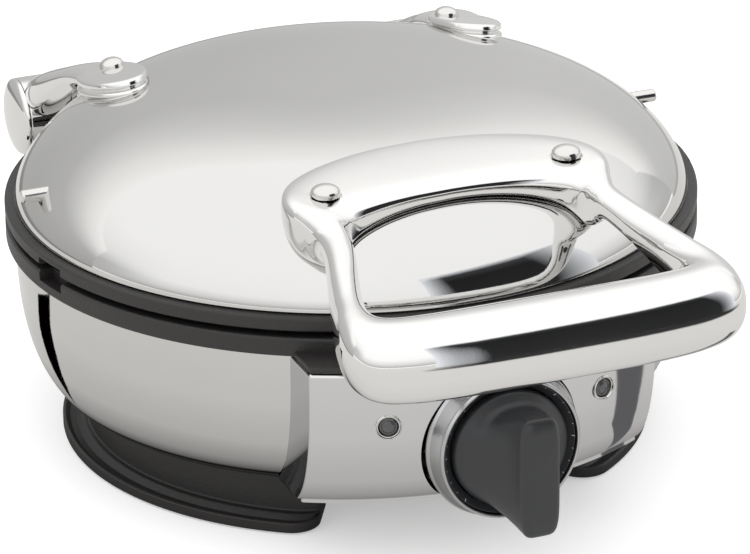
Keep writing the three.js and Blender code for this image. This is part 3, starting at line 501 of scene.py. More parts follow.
def about_knob(corners, segments):
    """Round piece about the knob's axis from (radius, distance in front of the panel, rounding) corners."""
    return placed(turned(rounded(corners, 5), segments), KNOB_PLACE)


def lamp_matrix(side):
    centre = middle(f"{side}_lamp_lens")
    reach = float(bowl_radius(centre[2])) + PANEL_STANDOFF
    turn = math.atan2(centre[0], -centre[1])
    outward = Vector((math.sin(turn), -math.cos(turn), 0))
    return looking((reach * math.sin(turn), -reach * math.cos(turn), centre[2]), outward)


panel = object_from("front_panel", [control_panel()])
COLLAR_HOLE = [(0, -30), (COLLAR_R + 0.4, -30), (COLLAR_R + 0.4, 30), (0, 30)]
cutters = [placed(turned(COLLAR_HOLE, 128, False), KNOB_PLACE)]
LAMP_BORE = [(0, -9), (4.05, -9), (4.05, 9), (0, 9)]
for lamp in ("power", "ready"):
    cutters.append(placed(turned(LAMP_BORE, 48, False), lamp_matrix(lamp)))
cut(panel, cutters)
finish_piece(panel, "base", "satin_silver", ("control_panel",))
piece("panel_floor", [panel_floor()], "base", "satin_silver")

for lamp in ("power", "ready"):
    at = lamp_matrix(lamp)
    bezel = rounded([(3.75, -4, 0.1), (4.0, -4, 0.1), (4.0, 0.25, 0.1), (5.1, 0.25, 0.15), (5.1, 0.7, 0.3),
                     (4.7, 1.0, 0.3), (3.75, -0.9, 0.2)], 4)
    piece(f"{lamp}_bezel", [placed(turned(bezel, 64), at)], "base", "plated_steel", f"{lamp}_lamp_bezel")
    lens = [(0, -4), (3.6, -4), (3.6, -0.7), (3.4, -0.3), (2.7, -0.05), (2.55, -0.25), (2.4, -0.05),
            (1.5, 0.2), (0, 0.3)]
    piece(f"{lamp}_lens", [placed(turned(lens, 64, False), at)], "base", "lamp_lens", f"{lamp}_lamp_lens")

LIP_R, BORE_R, KNOB_R = 28.3, 27.3, 23.5
collar = piece("collar", [about_knob([
    (5, -16, 0.3), (30.6, -16, 0.5), (30.6, -1.2, 0.3), (31.3, -0.6, 0.3), (31.3, 0.4, 0.4), (30.6, 1.6, 0.8),
    (28.9, 7.6, 0.8), (28.9, 8.4, 0.3), (LIP_R, COLLAR_REACH, 0.45), (BORE_R, COLLAR_REACH - 0.3, 0.4),
    (BORE_R, -14, 0.3), (5, -14, 0.3)], 192)], "base", "satin_silver", "knob_collar")
collar.data.materials[0] = metal("turned_silver", (0.50, 0.50, 0.505), 0.16, 0.24, 1400, (1, 1, 1), 0.05)

DIAL_FLOOR = COLLAR_REACH - 8
piece("dial_recess", [about_knob([
    (KNOB_R + 0.4, DIAL_FLOOR, 0.2), (BORE_R - 0.2, DIAL_FLOOR, 0.2), (BORE_R - 0.2, COLLAR_REACH - 1.1, 0.3),
    (KNOB_R + 0.5, COLLAR_REACH - 4.0, 0.4)], 160)], "base", "knob_plastic", "dial_ring")


def dial_ticks():
    """Raised ticks on the sloping face of the dial ring, one for each step of the thermostat."""
    parts = []
    start, end = math.radians(225), math.radians(-45)
    for i in range(25):
        angle = start + (end - start) * i / 24
        long = i % 4 == 0
        low_r, high_r = (BORE_R - 1.5, BORE_R - 0.5) if long else (BORE_R - 1.1, BORE_R - 0.6)
        wide = 0.16 if long else 0.1
        rows = []
        for r in (low_r, high_r):
            share = (r - KNOB_R - 0.5) / (BORE_R - 0.2 - KNOB_R - 0.5)
            out = COLLAR_REACH - 4.0 + 2.9 * share
            for lift in (-0.1, 0.12):
                rows.append([(r, -wide, out + lift), (r, wide, out + lift)])
        corners = [rows[1][0], rows[1][1], rows[3][1], rows[3][0],
                   rows[0][0], rows[0][1], rows[2][1], rows[2][0]]
        faces = [(0, 1, 2, 3), (4, 7, 6, 5), (0, 4, 5, 1), (1, 5, 6, 2), (2, 6, 7, 3), (3, 7, 4, 0)]
        turn = KNOB_PLACE @ Matrix.Rotation(angle, 4, "Z")
        parts.append(placed((corners, faces), turn))
    return parts


piece("dial_ticks", dial_ticks(), "base", "knob_mark")


def knob_body():
    """Disc whose two flanks are scooped into a tall grip: one surface, from the skirt to the rounded top."""
    stations = [  # reach before the lip, half width, up, down, squareness
        (-9.0, 23.2, 23.2, 23.2, 2.0), (-3.0, 23.5, 23.5, 23.5, 2.0), (-1.2, 23.4, 23.4, 23.4, 2.0),
        (-0.2, 22.8, 23.0, 23.2, 2.0), (0.8, 21.6, 21.6, 23.2, 2.05), (2.4, 19.4, 19.8, 23.4, 2.15),
        (5.0, 16.4, 18.9, 23.9, 2.3), (8.6, 13.6, 19.4, 24.4, 2.6), (13.0, 11.2, 20.6, 24.9, 3.0),
        (18.0, 9.4, 21.8, 25.2, 3.6), (22.6, 8.4, 22.8, 25.3, 4.4), (25.8, 8.0, 23.2, 25.2, 5.0),
        (27.2, 7.5, 22.7, 24.5, 5.0), (28.0, 6.5, 21.6, 23.2, 4.6),
    ]
    rows = []
    for out, wide, up, down, square in eased(stations, 110):
        ring = []
        for a in np.linspace(0, 2 * math.pi, 120, endpoint=False):
            high = up if math.sin(a) > 0 else down
            ring.append((wide * super_power(math.cos(a), 2 / square), COLLAR_LIP_Y - out,
                         KNOB_Z + high * super_power(math.sin(a), 2 / square)))
        rows.append(ring)
    for shrink in (0.8, 0.5, 0.2, 0.0):
        rows.append([(x * shrink, COLLAR_LIP_Y - 28.0 - 0.25 * (1 - shrink), KNOB_Z + (z - KNOB_Z) * shrink)
                     for x, _, z in rows[109]])
    return grid(rows, cap_first=True)


piece("knob_grip", [knob_body()], "knob", "knob_plastic", "knob")
marker = rounded([(0, -0.6, 0), (1.5, -0.6, 0.1), (1.5, 0.12, 0.15), (0, 0.12, 0)], 3)
mark_x, _, mark_z = middle("knob_marker")
piece("knob_dot", [placed(turned(marker, 40), looking(
    (mark_x, COLLAR_LIP_Y - 0.15, mark_z - 0.6), (0, -1, 0.35)))], "knob", "knob_mark", "knob_marker")

# ------------------------------------------------------------------ handle

def handle_loop():
    """Plate, arms and bar as one loop about the finger gap. A station is half of the loop, on the +X side:
    inner x, y, outer x, y, top z, bottom z, squareness, share of the bottom that follows the dome."""
    half = np.array([
        (0, -107.6, 0, -66.6, 143.0, 128, 3.8, 1),
        (13, -108.0, 14, -67.4, 143.0, 128, 3.8, 1),
        (26, -109.4, 30, -70.2, 142.9, 128, 3.8, 1),
        (36.5, -111.6, 47, -76.0, 142.6, 128, 3.8, 1),
        (43.4, -114.2, 59.2, -84.0, 142.3, 128, 3.8, 1),
        (46.8, -117.2, 65.6, -94.0, 141.9, 127, 3.6, 1),
        (48.4, -120.2, 66.4, -104.4, 141.0, 126.6, 3.2, 0.9),
        (49.2, -124.4, 63.6, -113.6, 138.6, 126.2, 2.7, 0.5),
        (50.2, -129.6, 61.8, -122.0, 136.0, 125.0, 2.3, 0.1),
        (52.4, -138.0, 63.8, -134.4, 134.2, 121.8, 2.1, 0),
        (56.6, -152.0, 69.4, -151.6, 131.4, 115.6, 2.05, 0),
        (60.2, -166.0, 75.0, -169.4, 129.2, 108.4, 2.1, 0),
        (61.0, -176.0, 79.0, -184.0, 128.3, 102.4, 2.2, 0),
        (58.4, -181.6, 79.4, -197.4, 127.9, 99.0, 2.2, 0),
        (52.6, -183.8, 74.0, -207.6, 128.0, 97.6, 2.25, 0),
        (42.0, -184.0, 60.0, -213.2, 128.0, 97.1, 2.3, 0),
        (28.0, -183.7, 38.0, -215.7, 128.0, 97.0, 2.3, 0),
        (14.0, -183.5, 18.0, -216.4, 128.0, 97.0, 2.3, 0),
        (0, -183.5, 0, -216.5, 128.0, 97.0, 2.3, 0),
    ])
    mirror = half[1:-1][::-1] * np.array([-1, 1, -1, 1, 1, 1, 1, 1])
    ring = np.vstack([half, mirror])
    wrapped = np.vstack([ring[-1], ring, ring[0], ring[1]])
    fine = eased(wrapped, (len(wrapped) - 1) * 12 + 1)[12:-24]
    rows = []
    for ix, iy, ox, oy, top, bottom, square, follow in fine:
        row = []
        for a in np.linspace(0, 2 * math.pi, 96, endpoint=False):
            across = 0.5 + 0.5 * super_power(math.cos(a), 2 / square)
            x, y = ix + (ox - ix) * across, iy + (oy - iy) * across
            seat = float(dome_height(math.hypot(x, y))) - 0.4
            low = follow * seat + (1 - follow) * bottom
            crown = top - follow * 3.4 * (1 - across) - 0.25 * (2 * across - 1) ** 2
            share = 0.5 + 0.5 * super_power(math.sin(a), 2 / square)
            row.append((x, y, low + (crown - low) * share))
        rows.append(row)
    return grid(rows, wrap_rows=True)


handle = object_from("handle_casting", [handle_loop()], limit=60)
screw_places = []
for side in ("left", "right"):
    x, y, _ = middle(f"handle_{side}_screw")
    screw_places.append((x, y, span(f"handle_{side}_screw")[1][2]))
COUNTERBORE = [(0, 0), (6.4, 0), (6.4, 8), (0, 8)]
COUNTERBORE_Z = 139.9
cut(handle, [placed(turned(COUNTERBORE, 64, False), Matrix.Translation((x, y, COUNTERBORE_Z)))
             for x, y, _ in screw_places])
finish_piece(handle, "lid", "polished_cast", ("handle",))


def domed_head(radius, height, stem):
    """Domed screw head seated on its origin, with a short stem below."""
    arc = [(radius * math.sin(a), height * (0.32 + 0.68 * math.cos(a)))
           for a in np.linspace(0, math.pi / 2, 14)]
    return turned([*arc, (radius, 0.3), (radius - 0.3, 0), (2.3, 0), (2.3, -stem), (0, -stem)], 64, False)


HEAD_H = 4.6
for side, (x, y, top) in zip(("left", "right"), screw_places):
    head = placed(domed_head(5.7, HEAD_H, 3), Matrix.Translation((x, y, top - HEAD_H)))
    piece(f"{side}_handle_screw", [head], "lid", "plated_steel", f"handle_{side}_screw")

# ------------------------------------------------------------------ hinges

PAD_X, PAD_Y, PAD_TOP_Z, SLOPE_X, SLOPE_Y = 78.5, 66, 138.4, 0.14, 0.2
FLUTES = [  # grows outward, falls below the pad's top
    (-3.0, 0.0), (-1.4, 0.1), (-0.4, 0.6), (0.0, 1.5), (0.1, 2.6), (-0.9, 3.2), (-1.1, 3.8), (-0.1, 4.4),
    (0.5, 5.1), (0.5, 6.0), (-0.4, 6.6), (-0.5, 7.1), (0.5, 7.7), (1.2, 8.4), (1.3, 9.4), (1.4, 11.0),
    (1.5, 15.0),
]


def hinge_pad(sign):
    """Oval pad with fluted sides, tilted to the dome and cut off along it."""
    rows = [[(0.0, 0.0, 0.0)] * 96]
    for grow, fall in eased(FLUTES, 90):
        rows.append([((13.4 + grow) * math.cos(a), (24.5 + grow) * math.sin(a), -fall)
                     for a in np.linspace(0, 2 * math.pi, 96, endpoint=False)])
    tilt = (Matrix.Translation((sign * PAD_X, PAD_Y, PAD_TOP_Z)) @ Matrix.Rotation(-SLOPE_Y, 4, "X")
            @ Matrix.Rotation(sign * SLOPE_X, 4, "Y"))
    points, faces = placed(grid(rows), tilt)
    for p in points:
        p[2] = max(p[2], float(dome_height(min(math.hypot(p[0], p[1]), DOME_R))) - 0.5)
    return points, faces


def oval_bar(stations, count=60, sides=48, square=2.4):
    """Bar along stations of (x, y, z, half width, half height)."""
    fine = eased(stations, count)
    rows = []
    for i, (x, y, z, wide, high) in enumerate(fine):
        before, after = fine[max(i - 1, 0)], fine[min(i + 1, count - 1)]
        along = Vector(after[:3] - before[:3]).normalized()
        across = Vector((0, 0, 1)).cross(along).normalized()
        up = along.cross(across)
        rows.append([tuple(Vector((x, y, z)) + across * wide * super_power(math.cos(a), 2 / square)
                           + up * high * super_power(math.sin(a), 2 / square))
                     for a in np.linspace(0, 2 * math.pi, sides, endpoint=False)])
    return grid(rows, cap_first=True, cap_last=True)


def barrel(x_from, x_to, radius, edge):
    """Rounded barrel on the hinge axis between two places along it."""
    long = abs(x_to - x_from)
    profile = rounded([(3, 0, 0), (radius, 0, edge), (radius, long, edge), (3, long, 0)], 5)
    return placed(turned(profile, 96), looking((x_from, HINGE_Y, HINGE_Z), (x_to - x_from, 0, 0)))


for side, sign in (("left", -1), ("right", 1)):
    outer_x = max(abs(span(f"{side}_hinge_arm")[0][0]), abs(span(f"{side}_hinge_arm")[1][0]))
    split_x = 72.0
    centre = (outer_x + split_x) / 2
    arm = oval_bar([(sign * 78.5, 66, 134.0, 10.5, 3.4), (sign * 78.8, 78, 132.6, 11.2, 4.0),
                    (sign * 79.6, 91, 128.8, 11.4, 4.8), (sign * 81.0, 106, 121.8, 11.0, 6.0),
                    (sign * centre, 124, 112.4, 10.6, 7.6), (sign * centre, 140, 103.0, 10.0, 9.0),
                    (sign * centre, HINGE_Y + 2, 95.0, 9.8, 9.0)])
    piece(f"{side}_hinge_casting", [hinge_pad(sign), arm, barrel(sign * split_x, sign * 92.0, 16.5, 0.6)],
          "lid", "polished_cast", f"{side}_hinge_arm")
    bulge = [(16.4 * math.cos(a) ** 0.9, 0.5 + 4.1 * math.sin(a)) for a in np.linspace(0, math.pi / 2, 24)]
    bulge[-1] = (0, 4.6)
    cap = turned([(0, 0), (16.0, 0), (16.4, 0.25)] + bulge, 96, False)
    piece(f"{side}_end_cap", [placed(cap, looking((sign * 92.15, HINGE_Y, HINGE_Z), (sign, 0, 0)))],
          "lid", "polished_cast", f"{side}_hinge_cap")
    x, y, _ = middle(f"{side}_hinge_screw")
    seat = Matrix.Translation((x, y, span(f"{side}_hinge_screw")[1][2] - 5))
    at = seat @ Matrix.Rotation(-0.12, 4, "X") @ Matrix.Rotation(sign * SLOPE_X, 4, "Y")
    piece(f"{side}_pad_screw", [placed(domed_head(5.0, HEAD_H, 3), at)],
          "lid", "plated_steel", f"{side}_hinge_screw")
    low, high = span(f"{side}_side_stud")
    tip = high[0] if sign > 0 else -low[0]
    long = tip - 127
    stud = rounded([(0, 0, 0), (2.7, 0, 0.2), (2.7, long, 1.9), (0, long, 0)], 6)
    at = looking((sign * 126, *middle(f"{side}_side_stud")[1:]), (sign, 0, 0))
    piece(f"{side}_stud", [placed(turned(stud, 48), at)], "lid", "plated_steel", f"{side}_side_stud")

mount_parts = [block((-54, 138.5, 50), (54, 146, 81), 2.4), block((-44, 129, 56), (44, 141, 78), 2.0)]
for sign in (-1, 1):
    mount_parts.append(barrel(sign * 50, sign * 71.5, 15.5, 1.0))
    mount_parts.append(oval_bar([(sign * 60.7, 142.5, 50, 10.4, 5.0), (sign * 60.7, 143.5, 62, 10.6, 6.0),
                                 (sign * 60.7, 146.0, 76, 10.7, 8.4), (sign * 60.7, HINGE_Y, 92, 10.7, 11.0)],
                                30, 48, 5.0))
piece("hinge_bracket", mount_parts, "base", "polished_cast", "hinge_mount")
rod_low, rod_high = span("hinge_rod")
rod_long = rod_high[0] - rod_low[0]
rod = turned(rounded([(0, 0, 0), (6, 0, 0.5), (6, rod_long, 0.5), (0, rod_long, 0)], 3), 48)
piece("hinge_pin", [placed(rod, looking((rod_low[0], HINGE_Y, HINGE_Z), (1, 0, 0)))],
      "base", "plated_steel", "hinge_rod")

# ------------------------------------------------------------------ tray and feet

def foot(sign):
    """Crescent foot with a stepped section and rounded ends."""
    gap, outer, inner_r = math.radians(29), 120.4, 106.3
    top = span("left_foot")[1][2]
    section = rounded([
        (93, 0.8, 0.4), (outer, 0.8, 0.5), (outer, 4.9, 0.5), (119.2, 5.2, 0.4), (117.4, 3.6, 0.9),
        (114.6, 3.4, 0.8), (112.2, 5.6, 1.2), (110.2, 5.8, 0.8), (108.9, top - 2, 0.6), (108.2, top, 0.5),
        (inner_r, top, 0.3), (inner_r, 11.9, 0.3), (93, 11.9, 0.4)], 4)
    rows = []
    for t in np.concatenate([np.linspace(0, 1, 22) ** 2 * 0.14, np.linspace(0.15, 0.85, 90),
                             1 - np.linspace(1, 0, 22) ** 2 * 0.14]):
        angle = gap + (math.pi - 2 * gap) * t
        run = min(t, 1 - t) * (math.pi - 2 * gap) * outer
        drop = 12 - math.sqrt(max(144 - max(12 - run, 0) ** 2, 0.2))
        squeeze = (outer - drop - inner_r) / (outer - inner_r)
        row = []
        for r, z in section:
            r = inner_r + (r - inner_r) * squeeze if r > inner_r else r
            row.append((sign * r * math.sin(angle), -r * math.cos(angle), z))
        rows.append(row)
    return grid(rows, cap_first=True, cap_last=True)


for side, sign in (("left", -1), ("right", 1)):
    piece(f"{side}_base_foot", [foot(sign)], "base", "black_plastic", f"{side}_foot")
    for end in ("front", "rear"):
        low, high = span(f"{end}_{side}_pad")
        tall = high[2] - low[2]
        x, y, _ = middle(f"{end}_{side}_pad")
        profiles = [rounded([(0, 0, 0), (8, 0, 0.5), (8, tall, 0.3), (0, tall, 0)], 4)]
        for r in (2, 4.4):
            profiles.append(rounded([(r, 0.0, 0.1), (r + 0.8, 0.0, 0.1), (r + 0.8, 0.5, 0), (r, 0.5, 0)], 2))
        rings = [placed(turned(profile, 48), Matrix.Translation((x, y, low[2]))) for profile in profiles]
        piece(f"{end}_{side}_rubber", rings, "base", "rubber_pad", f"{end}_{side}_pad")

tray_low, tray_high = span("base_tray")
tray_r = tray_high[0]
tray = rounded([(0, tray_high[2], 0), (tray_r, tray_high[2], 0.6), (tray_r, tray_low[2], 0.8),
                (tray_r - 2.2, tray_low[2], 0.5), (tray_r - 2.2, tray_high[2] - 2.2, 0.6),
                (0, tray_high[2] - 2.2, 0)], 5)
piece("tray_pan", [turned(tray, 192)], "base", "black_plastic", "base_tray")
cover_low, cover_high = span("bottom_cover")
swage = [(0, cover_low[2]), (30, cover_low[2]), (31, cover_low[2] + 0.8), (40, cover_low[2] + 0.8),
         (41, cover_low[2]), (70, cover_low[2]), (71, cover_low[2] + 0.8), (74, cover_low[2] + 0.8),
         (75, cover_low[2]), (cover_high[0] - 0.5, cover_low[2]), (cover_high[0], cover_low[2] + 0.5),
         (cover_high[0], cover_high[2]), (0, cover_high[2])]
piece("underside_cover", [turned(swage, 160, False)], "base", "plated_steel", "bottom_cover")
for i in range(1, 5):
    x, y, _ = middle(f"cover_screw_{i}")
    seat = Matrix.Translation((x, y, span(f"cover_screw_{i}")[0][2] + 1.5))
    at = seat @ Matrix.Rotation(math.pi, 4, "X")
    slotted = object_from(f"cover_screw_head_{i}", [placed(domed_head(3.0, 1.5, 4), at)])
    x, y, z = at.translation
    cut(slotted, [block((x - 1.9, y - 0.35, z - 3), (x + 1.9, y + 0.35, z - 0.8), 0.05, 1)])
    cut(slotted, [block((x - 0.35, y - 1.9, z - 3), (x + 0.35, y + 1.9, z - 0.8), 0.05, 1)])
    finish_piece(slotted, "base", "plated_steel", (f"cover_screw_{i}",))
gland = [(0, -4), (3.3, -4), (3.3, 0.2), (4.8, 0.2), (4.8, 1.8)]
for i in range(4):
    z = 2.2 + i * 1.4
    crest, root = 3.9 - 0.3 * i, 3.4 - 0.3 * i
    gland += [(crest, z), (crest, z + 0.7), (root, z + 0.9), (root, z + 1.2)]
gland += [(1.8, 8), (1.6, 6), (0, 6)]
piece("gland_bush", [placed(turned(gland, 48, False), looking(
    (0, tray_r, middle("cord_gland")[2]), (0, 1, 0)))], "base", "black_plastic", "cord_gland")

# ------------------------------------------------------------------ waffle plates and heaters

def waffle_plate(plate_top, upward):
    """Cast plate: drafted pockets as a height map, inside a turned flange."""
    pitch, reach, depth, outer = 24.0, 90.0, 6.5, 126.8
    step = 0.9
    lines = np.arange(-93.6, 93.61, step)
    x, y = np.meshgrid(lines, lines, indexing="ij")
    r = np.hypot(x, y)

    def wall(distance, half_top, half_foot):
        share = np.clip((half_foot - distance) / (half_foot - half_top), 0, 1)
        return share * share * (3 - 2 * share)

    ribs = np.zeros_like(x)
    for i in range(-3, 4):
        height = 0.93 if i else 0.985
        for axis in (x, y):
            ribs = np.maximum(ribs, height * wall(np.abs(axis - i * pitch), 1.2, 2.6))
    ring = wall(-r, -92.0, -90.2)
    level = np.maximum(ribs, ring) * depth
    level = np.where(r > 91.6, depth - 0.05, level)
    points, index, faces = [], -np.ones(x.shape, int), []
    for i in range(x.shape[0]):
        for j in range(x.shape[1]):
            if r[i, j] < 93.4:
                index[i, j] = len(points)
                points.append((x[i, j], y[i, j], level[i, j] - depth))
    for i in range(x.shape[0] - 1):
        for j in range(x.shape[1] - 1):
            quad = (index[i, j], index[i + 1, j], index[i + 1, j + 1], index[i, j + 1])
            if min(quad) >= 0:
                faces.append(quad)
    flange = rounded([(92.0, 0, 0.2), (outer, 0, 0.6), (outer, -3, 0.6), (94.5, -3, 0.6),
                      (91.6, -depth - 3, 0.8), (0, -depth - 3, 0), (0, -depth - 1.2, 0),
                      (92.0, -depth - 1.2, 0.2)], 4)
    parts = [(points, faces), turned(flange, 160)]
    place = Matrix.Translation((0, 0, plate_top))
    if not upward:
        place = place @ Matrix.Rotation(math.pi, 4, "X")
    return [placed(part, place) for part in parts]


lower_plate_top = span("lower_waffle_plate")[1][2]
upper_plate_top = span("upper_waffle_plate")[0][2]
piece("lower_grid_plate", waffle_plate(lower_plate_top, True), "base", "nonstick_plate", "lower_waffle_plate")
piece("upper_grid_plate", waffle_plate(upper_plate_top, False), "lid", "nonstick_plate", "upper_waffle_plate")


def element_tube(z):
    """Tubular heater: one turn that stops short of itself."""
    rows = []
    for a in np.linspace(0.12, 2 * math.pi - 0.12, 140) + math.pi / 2:
        rows.append([((62 + 3.5 * math.cos(b)) * math.cos(a), (62 + 3.5 * math.cos(b)) * math.sin(a),
                      z + 3.5 * math.sin(b)) for b in np.linspace(0, 2 * math.pi, 20, endpoint=False)])
    return grid(rows, cap_first=True, cap_last=True)


def reflector(node, upward):
    """Shallow pan behind a heating element, with a flange under the plate."""
    low, high = span(node)
    floor, rim_z = (low[2], high[2]) if upward else (high[2], low[2])
    lift = 1 if upward else -1
    outer = 114.8
    profile = [
        (0, floor), (outer - 10, floor), (outer - 3, floor + 2.4 * lift), (outer, floor + 8 * lift),
        (outer, rim_z - lift), (124.8, rim_z - lift), (124.8, rim_z), (outer - 1, rim_z),
        (outer - 1, floor + 8.4 * lift), (outer - 4, floor + 3.4 * lift), (outer - 10.4, floor + lift),
        (0, floor + lift)]
    return turned(profile, 160, False)


for level, body, upward in (("lower", "base", True), ("upper", "lid", False)):
    piece(f"{level}_element", [element_tube(middle(f"{level}_heating_element")[2])], body,
          "element_sheath", f"{level}_heating_element")
    piece(f"{level}_reflector", [reflector(f"{level}_heat_reflector", upward)], body, "reflector_sheet",
          f"{level}_heat_reflector")

# ------------------------------------------------------------------ carried-over nodes

for name, slot in {
    "power_neon_lamp": "moulded_resin", "ready_neon_lamp": "moulded_resin", "thermostat": "moulded_resin",
    "thermal_fuse": "moulded_resin", "terminal_block": "moulded_resin", "thermostat_bracket": "plated_steel",
    "thermostat_shaft": "plated_steel",
}.items():
    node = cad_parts[name]
    node.data.materials.clear()
    node.data.materials.append(FINISH[slot])

# ------------------------------------------------------------------ studio

def stage_card(name, corners, stops, color=(1, 1, 1), sideways=((0.0, 1.0), (1.0, 1.0)), clear=0.0):
    """Card that only the polished metal mirrors: it lights nothing, casts nothing and isn't seen.
    Its brightness follows (distance from the first edge in metres, level) stops, and is drawn away
    from a clear level by (share of the width, strength) pairs."""
    material = bpy.data.materials.new(name)
    material.use_nodes = True
    nodes, links = material.node_tree.nodes, material.node_tree.links
    nodes.remove(nodes["Principled BSDF"])
    glow = nodes.new("ShaderNodeEmission")
    attribute = nodes.new("ShaderNodeAttribute")
    attribute.attribute_name = "level"
    tone = nodes.new("ShaderNodeMix")
    tone.data_type = "RGBA"
    tone.blend_type = "MULTIPLY"
    tone.inputs[0].default_value = 1
    tone.inputs[7].default_value = (*color, 1)
    links.new(attribute.outputs["Color"], tone.inputs[6])
    links.new(tone.outputs[2], glow.inputs["Color"])
    links.new(glow.outputs["Emission"], nodes["Material Output"].inputs["Surface"])
    mesh = bpy.data.meshes.new(name)
    points, faces, levels = corners, [], []
    if stops:
        first, across, up = (Vector(c) for c in corners)
        points = []
        for distance, level in stops:
            for share, strength in sideways:
                points.append(tuple(first + across * share + up.normalized() * distance))
                levels.append(clear + (level - clear) * strength)
        wide = len(sideways)
        faces = [(i * wide + j, i * wide + j + 1, (i + 1) * wide + j + 1, (i + 1) * wide + j)
                 for i in range(len(stops) - 1) for j in range(wide - 1)]
    else:
        faces = [tuple(range(len(corners)))]
        levels = [1.0] * len(corners)
    mesh.from_pydata(points, [], faces)
    layer = mesh.color_attributes.new("level", "FLOAT_COLOR", "POINT")
    for i, level in enumerate(levels):
        layer.data[i].color = (level, level, level, 1)
    mesh.materials.append(material)
    card = bpy.data.objects.new(name, mesh)
    bpy.context.scene.collection.objects.link(card)
    card.visible_camera = card.visible_diffuse = card.visible_shadow = False
    card.visible_transmission = card.visible_volume_scatter = False
    return card


def floor_card_painted_shadow(rings, color):
    """Mirrored image of the floor: rings of (radius in metres, level), with a painted shadow that makes it
    darker under the appliance.
    """
    card = stage_card("floor_card", [(0, 0, 0), (1, 0, 0), (1, 1, 0)], None, color)
    points, faces, levels = [], [], []
    for radius, level in rings:
        for a in np.linspace(0, 2 * math.pi, 96, endpoint=False):
            points.append((AXIS[0] + radius * math.cos(a), AXIS[1] + radius * math.sin(a), 0.0008))
            levels.append(level)
    for i in range(len(rings) - 1):
        for j in range(96):
            faces.append((i * 96 + j, i * 96 + (j + 1) % 96, (i + 1) * 96 + (j + 1) % 96, (i + 1) * 96 + j))
    mesh = bpy.data.meshes.new("floor_card_rings")
    mesh.from_pydata(points, [], faces)
    layer = mesh.color_attributes.new("level", "FLOAT_COLOR", "POINT")
    for i, level in enumerate(levels):
        layer.data[i].color = (level, level, level, 1)
    mesh.materials.append(card.data.materials[0])
    card.data = mesh


floor_mesh = bpy.data.meshes.new("floor")
floor_mesh.from_pydata([(-9, -9, 0), (9, -9, 0), (9, 9, 0), (-9, 9, 0)], [], [(0, 1, 2, 3)])
floor = bpy.data.objects.new("floor", floor_mesh)
bpy.context.scene.collection.objects.link(floor)
pale, nodes, links, shader, place = new_material("pale_floor")
links.new(tint(nodes, links, noise(nodes, links, place, 6, 2), (0.80, 0.80, 0.80), (0.81, 0.81, 0.81)),
          shader.inputs["Base Color"])
shader.inputs["Roughness"].default_value = 0.9
shader.inputs["Specular IOR Level"].default_value = 0.1
shader.inputs["Emission Color"].default_value = (1, 1, 1, 1)
shader.inputs["Emission Strength"].default_value = 0.38
floor_mesh.materials.append(pale)

SKY = 1.31  # world's strength, and the level that the cards fade to
world = bpy.data.worlds.new("studio")
bpy.context.scene.world = world
world.use_nodes = True
nodes, links = world.node_tree.nodes, world.node_tree.links
background = nodes["Background"]
direction = nodes.new("ShaderNodeTexCoord").outputs["Generated"]
parts = nodes.new("ShaderNodeSeparateXYZ")
links.new(direction, parts.inputs["Vector"])


def ramp(value, stops):
    node = nodes.new("ShaderNodeValToRGB")
    for extra, (position, level) in enumerate(stops):
        element = node.color_ramp.elements[extra] if extra < 2 else node.color_ramp.elements.new(position)
        element.position = position
        element.color = (level, level, level, 1)
    links.new(value, node.inputs["Fac"])
    return node.outputs["Color"]


def blend_by(share, first, second):
    mix = nodes.new("ShaderNodeMix")
    mix.data_type = "RGBA"
    links.new(share, mix.inputs[0])
    links.new(first, mix.inputs[6])
    links.new(second, mix.inputs[7])
    return mix.outputs[2]


def clamp_range(value, low, high):
    node = nodes.new("ShaderNodeMapRange")
    node.interpolation_type = "SMOOTHSTEP"
    node.inputs["From Min"].default_value = low
    node.inputs["From Max"].default_value = high
    links.new(value, node.inputs["Value"])
    return node.outputs["Result"]


front = ramp(clamp_range(parts.outputs["Z"], -1, 1), [
    (0.0, 0.6), (0.5, 0.45), (0.6, 0.72), (0.75, 0.95), (1.0, 1.0)])
behind = ramp(clamp_range(parts.outputs["Z"], -1, 1), [
    (0.0, 0.5), (0.5, 0.5), (0.68, 0.52), (0.80, 0.86), (0.93, 1.0), (1.0, 1.0)])
around = blend_by(clamp_range(parts.outputs["Y"], -0.1, 0.45), front, behind)
links.new(around, background.inputs["Color"])
background.inputs["Strength"].default_value = SKY
seen = nodes.new("ShaderNodeBackground")
seen.inputs["Color"].default_value = (1, 1, 1, 1)
seen.inputs["Strength"].default_value = 1.0
either = nodes.new("ShaderNodeMixShader")
path = nodes.new("ShaderNodeLightPath")
links.new(path.outputs["Is Camera Ray"], either.inputs[0])
links.new(background.outputs["Background"], either.inputs[1])
links.new(seen.outputs["Background"], either.inputs[2])
links.new(either.outputs["Shader"], nodes["World Output"].inputs["Surface"])

stage_card("grey_card_behind", [(-1.5, 0.62, 0.002), (3.0, 0, 0), (0, 0.05, 1)],
           [(0.0, 0.40), (0.035, 0.44), (0.05, 0.62), (0.25, 0.67), (0.40, 0.72), (0.50, 0.88),
            (0.62, 1.12), (0.78, SKY)], (1.0, 0.998, 0.99),
           ((0.0, 1.14), (0.44, 1.12), (0.55, 1.03), (0.60, 0.94), (0.64, 0.88), (1.0, 0.88)), SKY)
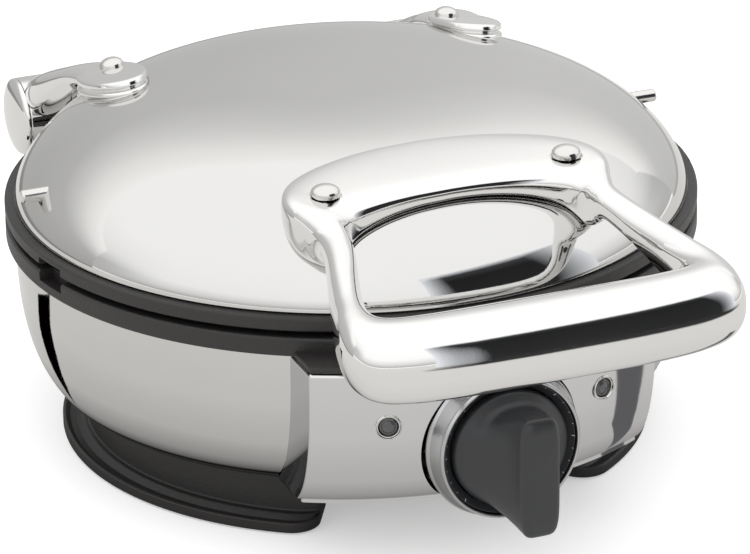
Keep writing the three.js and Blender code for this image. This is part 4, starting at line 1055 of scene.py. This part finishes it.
# The handle bar's dark band: a card that stands in front, and its foot on the floor.
DARK_EDGE = Vector((1.35, 0.62, 0))
DARK_SHARES = ((0.15, 0.0), (0.20, 0.6), (0.24, 1.0), (0.58, 1.0), (0.80, 0.0))
stage_card("dark_card_front", [(-0.16, -0.98, 0.002), DARK_EDGE, (0, -0.02, 1)],
           [(0.0, 0.03), (0.66, 0.02), (0.80, 0.06), (0.90, 1.05)], (1.0, 1.03, 1.08), DARK_SHARES, 1.05)
stage_card("dark_card_floor", [(-0.16, -0.98, 0.0015), DARK_EDGE, (-0.417, 0.909, 0)],
           [(0.0, 0.03), (0.26, 0.05), (0.32, 0.86)], (1.0, 0.99, 0.98), DARK_SHARES, 0.86)
# Painted shadow: the low levels near the axis stand in for the appliance's shadow on the floor, as the metal
# mirrors it.
floor_card_painted_shadow([(0.0, 0.03), (0.118, 0.08), (0.135, 0.40), (0.16, 0.64), (0.22, 0.78), (0.34, 0.84),
            (1.0, 0.87), (3.5, 0.9)], (1.0, 0.985, 0.965))


def stripe_card(name, outline, color):
    """Card on the floor that the bowl mirrors as an upright stripe."""
    stage_card(name, [(x, y, 0.002) for x, y in outline], None, color)


stripe_card("black_card_left", [
    (-0.125, 0.052), (-0.137, 0.068), (-0.152, 0.102), (-0.169, 0.139), (-0.200, 0.182),
    (-0.237, 0.166), (-0.199, 0.127), (-0.171, 0.090), (-0.144, 0.062)], (0, 0, 0))
stripe_card("dark_card_right", [
    (0.071, -0.087), (0.093, -0.097), (0.105, -0.106), (0.132, -0.120), (0.186, -0.141),
    (0.172, -0.179), (0.120, -0.141), (0.092, -0.121)], (0.15, 0.15, 0.155))

# ------------------------------------------------------------------ camera

turn, tip, roll = math.radians(-21.7), math.radians(22.896), math.radians(-0.98)
back = Vector((math.sin(turn) * math.cos(tip), -math.cos(turn) * math.cos(tip), math.sin(tip)))
level = Vector((math.cos(turn), math.sin(turn), 0))
upright = back.cross(level)
right = level * math.cos(roll) + upright * math.sin(roll)
top = upright * math.cos(roll) - level * math.sin(roll)
lens = bpy.data.cameras.new("camera")
lens.sensor_width = 36
lens.sensor_fit = "HORIZONTAL"
lens.lens = 222.75
lens.clip_start = 0.05
camera = bpy.data.objects.new("camera", lens)
bpy.context.scene.collection.objects.link(camera)
camera.matrix_world = Matrix.Translation(Vector(AXIS) + Vector((-0.6368, -1.6249, 0.7962))) @ Matrix(
    (right, top, back)).transposed().to_4x4()
bpy.context.scene.camera = camera
bpy.context.scene.view_settings.view_transform = "Standard"
